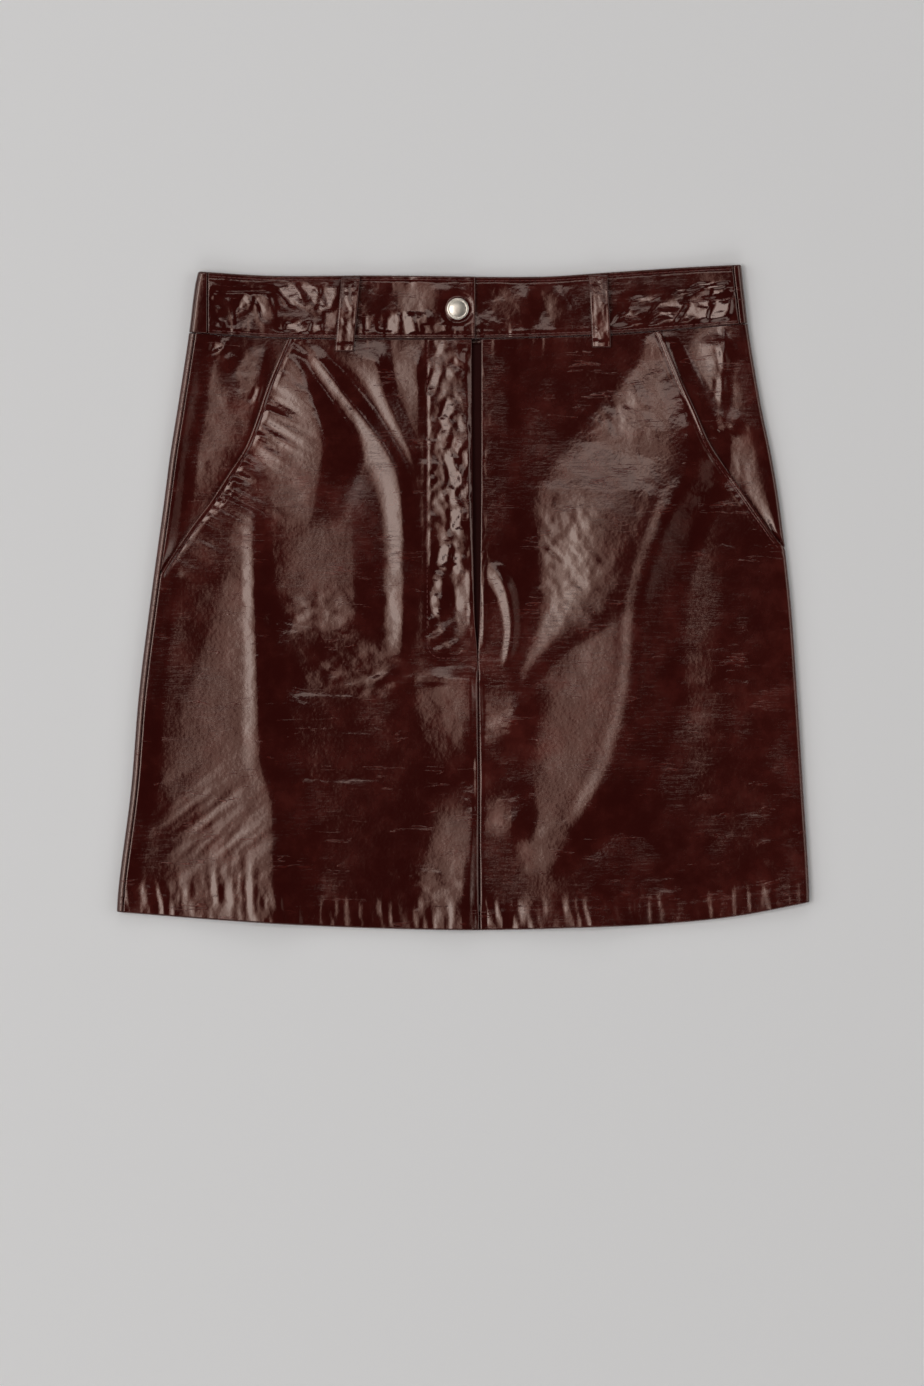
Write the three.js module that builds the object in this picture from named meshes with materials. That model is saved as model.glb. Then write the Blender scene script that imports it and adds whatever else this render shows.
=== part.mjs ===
// Leather skirt, short and A-line, laid flat on its back.
// Millimetres. X runs along the waist, +Y points to the waistband and +Z comes out of the front.
// The back lies on Z = 0, and the origin is the middle of the outline's box.
// Left and right are the viewer's, looking at the front.

import * as THREE from 'three';

// Hide and layers
const leather = 1.2; // one layer
const turnedLeather = 2 * leather; // hem and waistband, both turned double
const hemDepth = 16;
const seamGap = 0.3;
const layerGap = 0.6; // between layers that lie on each other
const sideFold = 3.4; // outer radius where the skirt turns over at its sides
const bandFold = 3.8;
const sideSeamInset = 4.2; // left side seam, in from the outline
const backWrap = { waist: 5, hem: 14 }; // how far the right front runs on under the back
const pocketEnd = 0.42; // share of the way down from waist seam to hem
const sideTurn = 0.35; // where the right pocket edge nears the side
const facingUnderlap = 10;
const facingEnd = 0.41;
const facingSunk = leather + 0.5; // under the cut edge of the front

// Outline of the laid skirt
const outline = [
  { y: 226, left: -180.2, right: 190.2 },
  { y: 213, left: -183.2, right: 191.6 },
  { y: 180, left: -187.4, right: 195.6 },
  { y: 131, left: -194.9, right: 203.8 },
  { y: 98, left: -200.2, right: 210.6 },
  { y: 65, left: -204.5, right: 216.1 },
  { y: 0, left: -213.4, right: 223.7 },
  { y: -66, left: -221.6, right: 228.5 },
  { y: -132, left: -227.1, right: 232.6 },
  { y: -197, left: -235.4, right: 236.6 },
  { y: -228, left: -237.4, right: 236.7 },
];

// Top of the waistband, from corner to corner
const bandTop = [
  { x: -181, y: 222.8 },
  { x: -130, y: 219.9 },
  { x: -60, y: 220.1 },
  { x: 50, y: 219.2 },
  { x: 100, y: 222.2 },
  { x: 150, y: 225.5 },
  { x: 190, y: 227.4 },
];

// Seam between waistband and skirt
const waistSeam = [
  { x: -187, y: 180.8 },
  { x: -128, y: 177.3 },
  { x: -60, y: 176.6 },
  { x: 7, y: 176.6 },
  { x: 54, y: 177.8 },
  { x: 110, y: 180.2 },
  { x: 195, y: 187 },
];

const hemLine = [
  { x: -236, y: -215 },
  { x: -173, y: -220 },
  { x: -111, y: -224 },
  { x: -50, y: -226.4 },
  { x: 12, y: -227.4 },
  { x: 73, y: -226 },
  { x: 134, y: -223.3 },
  { x: 186, y: -218 },
  { x: 236, y: -208.5 },
];

// Slash pockets: the cut edge of each front, followed past the side on the right
const pocketEdgeLeft = [
  { y: 178, x: -119.6 },
  { y: 149, x: -132 },
  { y: 105, x: -147.7 },
  { y: 84.5, x: -160.4 },
  { y: 65, x: -173.2 },
  { y: 49.6, x: -185 },
  { y: 27.7, x: -199.6 },
  { y: 14.6, x: -207.4 },
];
const pocketEdgeRight = [
  { y: 183, x: 135 },
  { y: 152, x: 147.7 },
  { y: 128, x: 158.7 },
  { y: 106, x: 168.4 },
  { y: 87, x: 180.6 },
  { y: 70, x: 192.9 },
  { y: 51.6, x: 205.9 },
  { y: 36, x: 218 },
  { y: 20.8, x: 237 },
];

// Centre front: free edge of the fly on the left, edge of the other side, closing to a seam
const centreFront = [
  { y: 178, left: 6, right: 12.4 },
  { y: 67, left: 6.8, right: 12.2 },
  { y: -15, left: 8.1, right: 11.1 },
  { y: -38, left: 9.9, right: 10.2 },
  { y: -66, left: 10.5, right: 10.8 },
  { y: -228, left: 11.2, right: 11.5 },
];
const flyEnd = -38;

// Layers under the fly
const shield = { left: -18, right: 24, top: 174, bottom: -52, corner: 9, under: leather + seamGap };
const zip = { left: -14, right: 5, top: 173, bottom: -33, tape: 0.8, coilWidth: 6, coilRise: 0.5 };
const zipUnder = shield.under + leather + seamGap + 0.2;
const flyRise = { start: -100, full: -20, fade: 12 };

// Waistband: the left end laps over the right one
const bandSeamLeft = -174.4;
const bandSeamInset = 5.6; // right side seam, in from the outline
const lapEnd = 8.5;
const underlapEnd = -16;
const lapRise = { start: -46, full: -20 };

// Soft folds of the front: each crest is followed down through a few places,
// with the width of the flank on either side of it and its height
const folds = [
  {
    name: 'hip left',
    crest: [
      { y: 171, x: -118, left: 8, right: 8, high: 0 },
      { y: 150, x: -111, left: 18, right: 10, high: 1.6 },
      { y: 116, x: -96, left: 36, right: 14, high: 3 },
      { y: 95, x: -96, left: 42, right: 16, high: 3.2 },
      { y: 72, x: -100, left: 42, right: 18, high: 1.9 },
      { y: 46, x: -104, left: 40, right: 20, high: 0 },
    ],
  },
  {
    name: 'crease to the fly',
    crest: [
      { y: 172, x: -108, left: 8, right: 8, high: 0 },
      { y: 137, x: -82, left: 9, right: 8, high: 0.9 },
      { y: 107, x: -60, left: 11, right: 9, high: 1.2 },
      { y: 80, x: -43, left: 15, right: 10, high: 1.7 },
      { y: 20, x: -40, left: 18, right: 10, high: 1.6 },
      { y: -30, x: -42, left: 12, right: 9, high: 0.5 },
      { y: -50, x: -43, left: 9, right: 9, high: 0 },
    ],
  },
  {
    name: 'lower left',
    crest: [
      { y: 64, x: -144, left: 10, right: 10, high: 0 },
      { y: 48, x: -143, left: 15, right: 12, high: 1 },
      { y: -32, x: -141, left: 18, right: 15, high: 1.3 },
      { y: -80, x: -139, left: 22, right: 18, high: 1.7 },
      { y: -110, x: -137, left: 28, right: 22, high: 2.2 },
      { y: -150, x: -129, left: 50, right: 28, high: 3.8 },
      { y: -230, x: -129, left: 68, right: 30, high: 4.6 },
    ],
  },
  {
    name: 'thigh',
    crest: [
      { y: 84, x: -76, left: 50, right: 20, high: 0 },
      { y: 56, x: -74, left: 56, right: 22, high: 2 },
      { y: 10, x: -72, left: 54, right: 22, high: 2 },
      { y: -30, x: -70, left: 50, right: 20, high: 0 },
    ],
  },
  {
    name: 'left of the centre seam',
    crest: [
      { y: -128, x: 2, left: 26, right: 9, high: 0 },
      { y: -160, x: 3, left: 28, right: 9, high: 1.9 },
      { y: -230, x: 0, left: 36, right: 11, high: 2.6 },
    ],
  },
  {
    name: 'hip right down to the hem',
    crest: [
      { y: 172, x: 139, left: 9, right: 9, high: 0 },
      { y: 160, x: 143, left: 22, right: 12, high: 1.2 },
      { y: 143, x: 148, left: 44, right: 14, high: 3 },
      { y: 107, x: 154, left: 64, right: 18, high: 4.8 },
      { y: 86, x: 155, left: 64, right: 20, high: 5 },
      { y: 50, x: 140, left: 48, right: 24, high: 4.2 },
      { y: 20, x: 120, left: 32, right: 26, high: 3.1 },
      { y: -60, x: 114, left: 42, right: 26, high: 3.6 },
      { y: -100, x: 106, left: 40, right: 26, high: 3.6 },
      { y: -130, x: 94, left: 36, right: 26, high: 3.3 },
      { y: -154, x: 78, left: 30, right: 24, high: 2.5 },
      { y: -180, x: 58, left: 18, right: 16, high: 0 },
    ],
  },
  {
    name: 'bulge beside the fly',
    crest: [
      { y: 92, x: 84, left: 20, right: 9, high: 0 },
      { y: 60, x: 89, left: 34, right: 9, high: 2.2 },
      { y: 39, x: 90, left: 38, right: 9, high: 2.6 },
      { y: -2, x: 80, left: 18, right: 9, high: 1.8 },
      { y: -36, x: 57, left: 10, right: 8, high: 1 },
      { y: -58, x: 43, left: 8, right: 8, high: 0 },
    ],
  },
  {
    name: 'hem right',
    crest: [
      { y: -150, x: 84, left: 60, right: 30, high: 0 },
      { y: -185, x: 88, left: 64, right: 34, high: 2.4 },
      { y: -230, x: 86, left: 64, right: 34, high: 3 },
    ],
  },
];

const beltLoops = [
  { name: 'belt_loop_left', topX: -76.6, bottomX: -81.1 },
  { name: 'belt_loop_right', topX: 92.4, bottomX: 94.7 },
];
const loop = { width: 12, leather: 1.8, inset: 2.4, reach: 8, bow: 1.1, lift: 0.4, drop: 6 };
const snap = { x: -3.6, y: 197.1, radius: 7.5, rise: 2.3 };

const rowCounts = { pocket: 10, overSide: 7, below: 17, band: 4 };

function clamp(value) {
  return Math.min(Math.max(value, 0), 1);
}

function ease(from, to, value) {
  const share = clamp((value - from) / (to - from));
  return share * share * (3 - 2 * share);
}

function lerp(a, b, share) {
  return a + (b - a) * share;
}

// Even steps from one value up to another, without the last
function steps(from, to, count) {
  return Array.from({ length: count }, (_, i) => lerp(from, to, i / count));
}

// Larger of two heights, with the corner between them rounded off upwards
function softMax(a, b) {
  const round = 1.2;
  const blend = Math.max(round - Math.abs(a - b), 0) / round;
  return Math.max(a, b) + blend * blend * round * 0.25;
}

// Smooth curve through one column of a table
function through(table, key, column) {
  const rows = [...table].sort((a, b) => a[key] - b[key]);
  const slopes = rows.map((row, i) => {
    const before = rows[Math.max(i - 1, 0)];
    const after = rows[Math.min(i + 1, rows.length - 1)];
    return (after[column] - before[column]) / (after[key] - before[key]);
  });
  return (value) => {
    let i = 0;
    while (i < rows.length - 2 && value > rows[i + 1][key]) i += 1;
    const span = rows[i + 1][key] - rows[i][key];
    const t = clamp((value - rows[i][key]) / span);
    const s = 1 - t;
    const ends = rows[i][column] * s * s * (1 + 2 * t) + rows[i + 1][column] * t * t * (3 - 2 * t);
    return ends + span * s * t * (slopes[i] * s - slopes[i + 1] * t);
  };
}

const leftEdge = through(outline, 'y', 'left');
const rightEdge = through(outline, 'y', 'right');
const bandTopY = through(bandTop, 'x', 'y');
const waistSeamY = through(waistSeam, 'x', 'y');
const hemY = through(hemLine, 'x', 'y');
const pocketLeft = through(pocketEdgeLeft, 'y', 'x');
const pocketRight = through(pocketEdgeRight, 'y', 'x');
const flyEdge = through(centreFront, 'y', 'left');
const rightFrontEdge = through(centreFront, 'y', 'right');

// Rows run from side to side; share 0 is the left outline and 1 the right one
function onLine(line, level) {
  return (share) => line(lerp(leftEdge(level), rightEdge(level), share));
}
const topRow = onLine(bandTopY, 224);
const seamRow = onLine(waistSeamY, 182);
const hemRow = onLine(hemY, -215);

function skirtRow(down) {
  return (share) => lerp(seamRow(share), hemRow(share), down);
}

function bandRow(down) {
  return (share) => lerp(topRow(share), seamRow(share) + seamGap, down);
}

// Way round the skirt at one height: front, right fold, back, left fold, as lengths of its outside
function girth(y, radius) {
  const left = leftEdge(y) + radius;
  const right = rightEdge(y) - radius;
  const turn = Math.PI * radius;
  return { left, right, turn, flat: right - left, all: 2 * (right - left) + 2 * turn };
}

// Outside point and outward direction at a way round c, where c is plain x over the front
function around(c, y, radius, height) {
  const ring = girth(y, radius);
  const way = (((c - ring.left) % ring.all) + ring.all) % ring.all;
  if (way <= ring.flat) return { x: ring.left + way, z: height(ring.left + way, y), nx: 0, nz: 1 };
  const pastRight = way - ring.flat;
  const pastBack = pastRight - ring.turn - ring.flat;
  if (pastRight > ring.turn && pastBack <= 0) {
    return { x: ring.right - (pastRight - ring.turn), z: 0, nx: 0, nz: -1 };
  }
  const onRight = pastRight <= ring.turn;
  const turned = (onRight ? pastRight : pastBack) / radius;
  const angle = onRight ? Math.PI / 2 - turned : -Math.PI / 2 - turned;
  const nx = Math.cos(angle);
  const nz = Math.sin(angle);
  return { x: (onRight ? ring.right : ring.left) + radius * nx, z: radius + radius * nz, nx, nz };
}

// Point of a row at a way round that may change with the height, sunk below the outside by a depth
function place(wayAt, row, radius, height, depthAt) {
  let y = row(0.5);
  let point = null;
  for (let pass = 0; pass < 5; pass += 1) {
    point = around(wayAt(y), y, radius, height);
    y = row((point.x - leftEdge(y)) / (rightEdge(y) - leftEdge(y)));
  }
  const depth = depthAt(wayAt(y), y);
  return new THREE.Vector3(point.x - depth * point.nx, y, point.z - depth * point.nz);
}

// Steps across a piece that are close in the side folds and wide over the flat back
function spread(from, to, y, radius, share) {
  const ring = girth(y, radius);
  const marks = [ring.right, ring.right + ring.turn, ring.left + ring.all - ring.turn, ring.left + ring.all];
  const weights = [1, 6, 0.25, 6, 1];
  const inside = marks.filter((mark) => mark > from && mark < to);
  const stops = [from, ...inside, to];
  const first = marks.filter((mark) => mark <= from).length;
  const lengths = stops.slice(1).map((stop, i) => (stop - stops[i]) * weights[first + i]);
  let rest = share * lengths.reduce((sum, length) => sum + length, 0);
  let i = 0;
  while (i < lengths.length - 1 && rest > lengths[i]) {
    rest -= lengths[i];
    i += 1;
  }
  return lerp(stops[i], stops[i + 1], rest / lengths[i]);
}

// Closed wall between an outer and an inner grid of points, both listed row by row
function wall(outer, inner) {
  const rows = outer.length;
  const columns = outer[0].length;
  const points = [...outer.flat(), ...inner.flat()];
  const far = rows * columns;
  const faces = [];
  const edge = [];
  for (let i = 0; i < rows - 1; i += 1) {
    for (let j = 0; j < columns - 1; j += 1) {
      const a = i * columns + j;
      const b = a + 1;
      const c = a + columns;
      const d = c + 1;
      faces.push(a, c, b, b, c, d, far + a, far + b, far + c, far + b, far + d, far + c);
    }
    edge.push([i * columns, (i + 1) * columns]);
    edge.push([(i + 2) * columns - 1, (i + 1) * columns - 1]);
  }
  for (let j = 0; j < columns - 1; j += 1) {
    edge.push([j + 1, j]);
    edge.push([(rows - 1) * columns + j, (rows - 1) * columns + j + 1]);
  }
  edge.forEach(([u, v]) => faces.push(v, u, far + u, v, far + u, far + v));
  const geometry = new THREE.BufferGeometry().setFromPoints(points);
  geometry.setIndex(faces);
  geometry.computeVertexNormals();
  return geometry;
}

function piece(name, geometry, look) {
  const mesh = new THREE.Mesh(geometry, new THREE.MeshStandardMaterial(look));
  mesh.name = name;
  return mesh;
}

const patentLeather = { color: 0x3c100d, roughness: 0.28, metalness: 0 };
const zipTape = { color: 0x24100e, roughness: 0.85, metalness: 0 };
const paleMetal = { color: 0xd9cfc0, roughness: 0.2, metalness: 1 };

const foldCurves = folds.map(({ crest }) => ({
  x: through(crest, 'y', 'x'),
  left: through(crest, 'y', 'left'),
  right: through(crest, 'y', 'right'),
  high: through(crest, 'y', 'high'),
}));

// Height of a fold at a point of the front, steepest half way down each flank
function ridge(fold, x, y) {
  const lean = (fold.x(y + 2) - fold.x(y - 2)) / 4;
  const off = (x - fold.x(y)) / Math.hypot(1, lean);
  const down = Math.abs(off) / (off < 0 ? fold.left(y) : fold.right(y));
  return Math.max(fold.high(y), 0) * (1 - ease(0, 1, down));
}

// Waistband heights; the lapping end is carried by the end below it
const bandRest = 2 * turnedLeather + layerGap;
const lapHeight = 3 * turnedLeather + layerGap + seamGap + 0.2;

function bandSides(x, y) {
  const ring = girth(y, bandFold);
  const inside = Math.min(x - ring.left, ring.right - x);
  return lerp(2 * bandFold, bandRest, ease(0, 34, inside));
}

function bandLeftHeight(x, y) {
  return softMax(bandSides(x, y), lerp(bandRest, lapHeight, ease(lapRise.start, lapRise.full, x)));
}

function bandRightHeight(x, y) {
  return bandSides(x, y);
}

// Height of the front's outside over the floor: folds, the layers below, and the rise to waist, hem and sides
const frontRest = 2 * leather + layerGap;

function overPocket(x, y) {
  const pastLeft = x - pocketLeft(y) - facingUnderlap;
  const pastRight = pocketRight(y) - facingUnderlap - x;
  const past = Math.min(pastLeft, pastRight);
  const lowest = pocketEdgeRight.at(-1).y;
  return (1 - ease(2, 90, past)) * ease(lowest - 18, lowest - 6, y);
}

// The front rises to its side fold over this width, long on the right below the pocket
function sideRise(x, y) {
  return x < 0 ? 18 : lerp(110, 18, ease(30, 90, y));
}

function skirtFront(onLeft) {
  const bandHeight = onLeft ? bandLeftHeight : bandRightHeight;
  const overZip = zipUnder + zip.tape + zip.coilRise + 0.4 + leather;
  const overShield = shield.under + leather + layerGap + leather;
  const overFacing = frontRest + leather + 0.6;
  return (x, y) => {
    const ring = girth(y, sideFold);
    const share = (x - leftEdge(y)) / (rightEdge(y) - leftEdge(y));
    const inside = Math.min(x - ring.left, ring.right - x);
    const belowSeam = seamRow(share) - y;
    const aboveHem = y - hemRow(share);
    let height = frontRest;
    height = softMax(height, lerp(2 * sideFold, frontRest, ease(0, sideRise(x, y), inside)));
    height = softMax(height, lerp(bandHeight(x, y + belowSeam) - leather, frontRest, ease(0, 34, belowSeam)));
    height = softMax(height, lerp(2 * turnedLeather + layerGap, frontRest, ease(hemDepth + 3, 120, aboveHem)));
    height = softMax(height, lerp(frontRest, overFacing, overPocket(x, y)));
    const onShield = ease(shield.left - 52, shield.left - 4, x) * (1 - ease(shield.right + 4, shield.right + 26, x));
    height = softMax(height, lerp(frontRest, overShield, onShield * ease(shield.bottom - 12, shield.bottom - 3, y)));
    if (onLeft) {
      const onFly = ease(flyRise.start, flyRise.full, x) * ease(flyEnd - flyRise.fade, flyEnd + 3, y);
      height = softMax(height, lerp(frontRest, overZip, onFly));
    }
    const free = ease(0, 10, belowSeam) * ease(0, 14, inside);
    height += free * foldCurves.reduce((sum, fold) => sum + ridge(fold, x, y), 0);
    return lerp(2 * sideFold, height, ease(0, 5, inside));
  };
}

const leftFront = skirtFront(true);
const rightFront = skirtFront(false);

const hemStart = 1 - hemDepth / (waistSeamY(0) - hemY(0));
// Rows of the skirt: closer together where the pocket edge turns over the side
const besidePocket = steps(0, sideTurn, rowCounts.pocket);
const overSide = steps(sideTurn, pocketEnd, rowCounts.overSide);
const belowPocket = steps(pocketEnd, hemStart, rowCounts.below);
const rowsDown = [...besidePocket, ...overSide, ...belowPocket, hemStart, hemStart + 0.006, 1];

function skirtLeather(down) {
  return down > hemStart ? turnedLeather : leather;
}

function seamLeft(y) {
  return leftEdge(y) + sideSeamInset;
}

function seamRight(y) {
  const ring = girth(y, sideFold);
  return ring.right + ring.turn + lerp(backWrap.waist, backWrap.hem, clamp((180 - y) / 400));
}

// A wall from one way round to the next ones, each with its own number of columns, and from row to row.
// The sink says how deep its outside lies
function panel({ rows, row, radius, height, from, stretches, sink = () => 0, thick }) {
  const ways = stretches.flatMap(({ to, columns }, i) => {
    const start = i === 0 ? from : stretches[i - 1].to;
    return steps(0, 1, columns).map((share) => (y) => spread(start(y), to(y), y, radius, share));
  });
  ways.push(stretches.at(-1).to);
  const grid = (inner) =>
    rows.map((down) =>
      ways.map((wayAt) => {
        const depthAt = (c, y) => sink(c, y) + (inner ? thick(down) : 0);
        return place(wayAt, row(down), radius, height, depthAt);
      }),
    );
  return wall(grid(false), grid(true));
}

function skirtPanel(options) {
  return panel({ row: skirtRow, radius: sideFold, thick: skirtLeather, ...options });
}

// The pocket edge down to its end at the side seam
function cutLeft(y) {
  return y > pocketEdgeLeft.at(-1).y ? pocketLeft(y) : -Infinity;
}

function cutRight(y) {
  return y > pocketEdgeRight.at(-1).y ? pocketRight(y) : Infinity;
}

function buildFronts() {
  const left = skirtPanel({
    rows: rowsDown,
    height: leftFront,
    from: (y) => Math.max(seamLeft(y) + seamGap / 2, cutLeft(y)),
    stretches: [{ to: flyEdge, columns: 26 }],
  });
  const right = skirtPanel({
    rows: rowsDown,
    height: rightFront,
    from: rightFrontEdge,
    stretches: [{ to: (y) => Math.min(seamRight(y) - seamGap / 2, cutRight(y)), columns: 32 }],
  });
  return [piece('front_left_panel', left, patentLeather), piece('front_right_panel', right, patentLeather)];
}

function buildBack() {
  const geometry = skirtPanel({
    rows: rowsDown,
    height: leftFront,
    from: (y) => seamRight(y) + seamGap / 2,
    stretches: [{ to: (y) => seamLeft(y) - seamGap / 2 + girth(y, sideFold).all, columns: 14 }],
  });
  return piece('back_panel', geometry, patentLeather);
}

// Pocket facings: flush with the side, then sunk under the cut edge of the front
function buildFacings() {
  const rows = [...besidePocket, ...overSide, facingEnd];
  const left = skirtPanel({
    rows,
    height: leftFront,
    from: (y) => seamLeft(y) + seamGap / 2,
    stretches: [
      { to: (y) => pocketLeft(y) - 0.4, columns: 6 },
      { to: (y) => pocketLeft(y) + facingUnderlap, columns: 1 },
    ],
    sink: (c, y) => facingSunk * ease(seamLeft(y), Math.min(seamLeft(y) + 16, pocketLeft(y) - 0.4), c),
  });
  const right = skirtPanel({
    rows,
    height: rightFront,
    from: (y) => pocketRight(y) - facingUnderlap,
    stretches: [
      { to: (y) => pocketRight(y) + 0.4, columns: 2 },
      { to: (y) => seamRight(y) - seamGap / 2, columns: 13 },
    ],
    sink: (c, y) => {
      const flush = Math.max(girth(y, sideFold).right - 1, pocketRight(y) + 3.5);
      return facingSunk * (1 - ease(Math.max(pocketRight(y) + 0.4, flush - 16), flush, c));
    },
  });
  return [piece('pocket_facing_left', left, patentLeather), piece('pocket_facing_right', right, patentLeather)];
}

function bandSeamRight(y) {
  return rightEdge(y) - bandSeamInset;
}

function buildWaistband() {
  const rows = [...steps(0, 1, rowCounts.band), 1];
  const bandPanel = (options) =>
    panel({ rows, row: bandRow, radius: bandFold, thick: () => turnedLeather, ...options });
  const left = bandPanel({
    height: bandLeftHeight,
    from: () => bandSeamLeft + seamGap / 2,
    stretches: [{ to: () => lapEnd, columns: 14 }],
  });
  const right = bandPanel({
    height: bandRightHeight,
    from: () => underlapEnd,
    stretches: [{ to: (y) => bandSeamRight(y) - seamGap / 2, columns: 13 }],
  });
  const back = bandPanel({
    height: bandSides,
    from: (y) => bandSeamRight(y) + seamGap / 2,
    stretches: [{ to: (y) => bandSeamLeft - seamGap / 2 + girth(y, bandFold).all, columns: 20 }],
  });
  return [
    piece('waistband_front_left', left, patentLeather),
    piece('waistband_front_right', right, patentLeather),
    piece('waistband_back', back, patentLeather),
  ];
}

// Belt loop: a strap from the waistband's top down over the seam, standing a little off the band
function buildLoop({ name, topX, bottomX }) {
  const bandHeight = topX < lapEnd ? bandLeftHeight : bandRightHeight;
  const skirtHeight = topX < lapEnd ? leftFront : rightFront;
  const top = bandTopY(topX) - loop.inset;
  const seam = waistSeamY(bottomX);
  const bottom = seam - loop.reach;
  const stops = Array.from({ length: 11 }, (_, i) => i / 10);
  const grid = (lift) =>
    stops.map((down) => {
      const y = lerp(top, bottom, down);
      const middle = lerp(topX, bottomX, down);
      return [-0.5, 0.5].map((side) => {
        const x = middle + side * loop.width;
        const onBand = bandHeight(x, Math.max(y, seam)) + loop.bow * Math.sin(Math.PI * clamp((top - y) / (top - seam)));
        const height = lerp(skirtHeight(x, Math.min(y, seam)), onBand, ease(seam - loop.drop, seam - 1, y));
        return new THREE.Vector3(x, y, height + loop.lift + lift);
      });
    });
  return piece(name, wall(grid(loop.leather), grid(0)), patentLeather);
}

function buildShield() {
  const shape = new THREE.Shape();
  shape.moveTo(shield.left, shield.top);
  shape.lineTo(shield.left, shield.bottom + shield.corner);
  shape.absarc(shield.left + shield.corner, shield.bottom + shield.corner, shield.corner, Math.PI, 1.5 * Math.PI);
  shape.lineTo(shield.right, shield.bottom);
  shape.lineTo(shield.right, shield.top);
  const geometry = new THREE.ExtrudeGeometry(shape, { depth: leather, bevelEnabled: false, curveSegments: 6 });
  geometry.translate(0, 0, shield.under);
  return piece('fly_shield', geometry, patentLeather);
}

function buildZip() {
  const middle = (zip.left + zip.right) / 2;
  const coilLeft = middle - zip.coilWidth / 2;
  const coilRight = middle + zip.coilWidth / 2;
  const section = new THREE.Shape();
  section.moveTo(zip.left, 0);
  section.lineTo(zip.right, 0);
  section.lineTo(zip.right, zip.tape);
  section.lineTo(coilRight, zip.tape);
  section.lineTo(coilRight - 1, zip.tape + zip.coilRise);
  section.lineTo(coilLeft + 1, zip.tape + zip.coilRise);
  section.lineTo(coilLeft, zip.tape);
  section.lineTo(zip.left, zip.tape);
  const geometry = new THREE.ExtrudeGeometry(section, { depth: zip.top - zip.bottom, bevelEnabled: false });
  geometry.rotateX(Math.PI / 2);
  geometry.translate(0, zip.top, zipUnder);
  return piece('fly_zip', geometry, zipTape);
}

// Snap cap: a low dome with a rolled rim, on the lapping end of the waistband
function buildSnap() {
  const profile = [
    [0, 0],
    [snap.radius - 0.6, 0],
    [snap.radius, 0.5],
    [snap.radius, 1],
    [snap.radius - 0.7, 1.55],
    [snap.radius - 1.7, 1.85],
    [snap.radius - 3.5, snap.rise - 0.15],
    [snap.radius - 5.5, snap.rise - 0.03],
    [0, snap.rise],
  ];
  const geometry = new THREE.LatheGeometry(profile.map(([r, h]) => new THREE.Vector2(r, h)), 28);
  geometry.rotateX(Math.PI / 2);
  geometry.translate(snap.x, snap.y, bandLeftHeight(snap.x, snap.y) + seamGap);
  return piece('snap_button', geometry, paleMetal);
}

const group = new THREE.Group();
group.add(
  buildBack(),
  ...buildFronts(),
  ...buildFacings(),
  buildShield(),
  buildZip(),
  ...buildWaistband(),
  ...beltLoops.map(buildLoop),
  buildSnap(),
);

export default group;
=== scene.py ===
# Leather skirt laid flat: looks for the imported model, in its frame
import math

import bpy
import numpy as np
from mathutils import Matrix, Vector


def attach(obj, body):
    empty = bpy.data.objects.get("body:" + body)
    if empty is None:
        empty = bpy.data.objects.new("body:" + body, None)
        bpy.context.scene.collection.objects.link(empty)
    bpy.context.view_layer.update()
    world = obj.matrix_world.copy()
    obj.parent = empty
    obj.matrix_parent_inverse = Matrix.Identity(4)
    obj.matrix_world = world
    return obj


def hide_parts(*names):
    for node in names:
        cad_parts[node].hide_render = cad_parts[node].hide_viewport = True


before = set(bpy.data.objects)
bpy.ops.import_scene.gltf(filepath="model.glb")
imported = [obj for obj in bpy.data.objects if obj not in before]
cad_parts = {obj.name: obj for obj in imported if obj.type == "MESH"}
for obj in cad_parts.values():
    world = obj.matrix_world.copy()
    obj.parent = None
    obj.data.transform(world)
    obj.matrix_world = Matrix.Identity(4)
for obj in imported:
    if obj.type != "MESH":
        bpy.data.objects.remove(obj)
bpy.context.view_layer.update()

mm = 0.001


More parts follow.
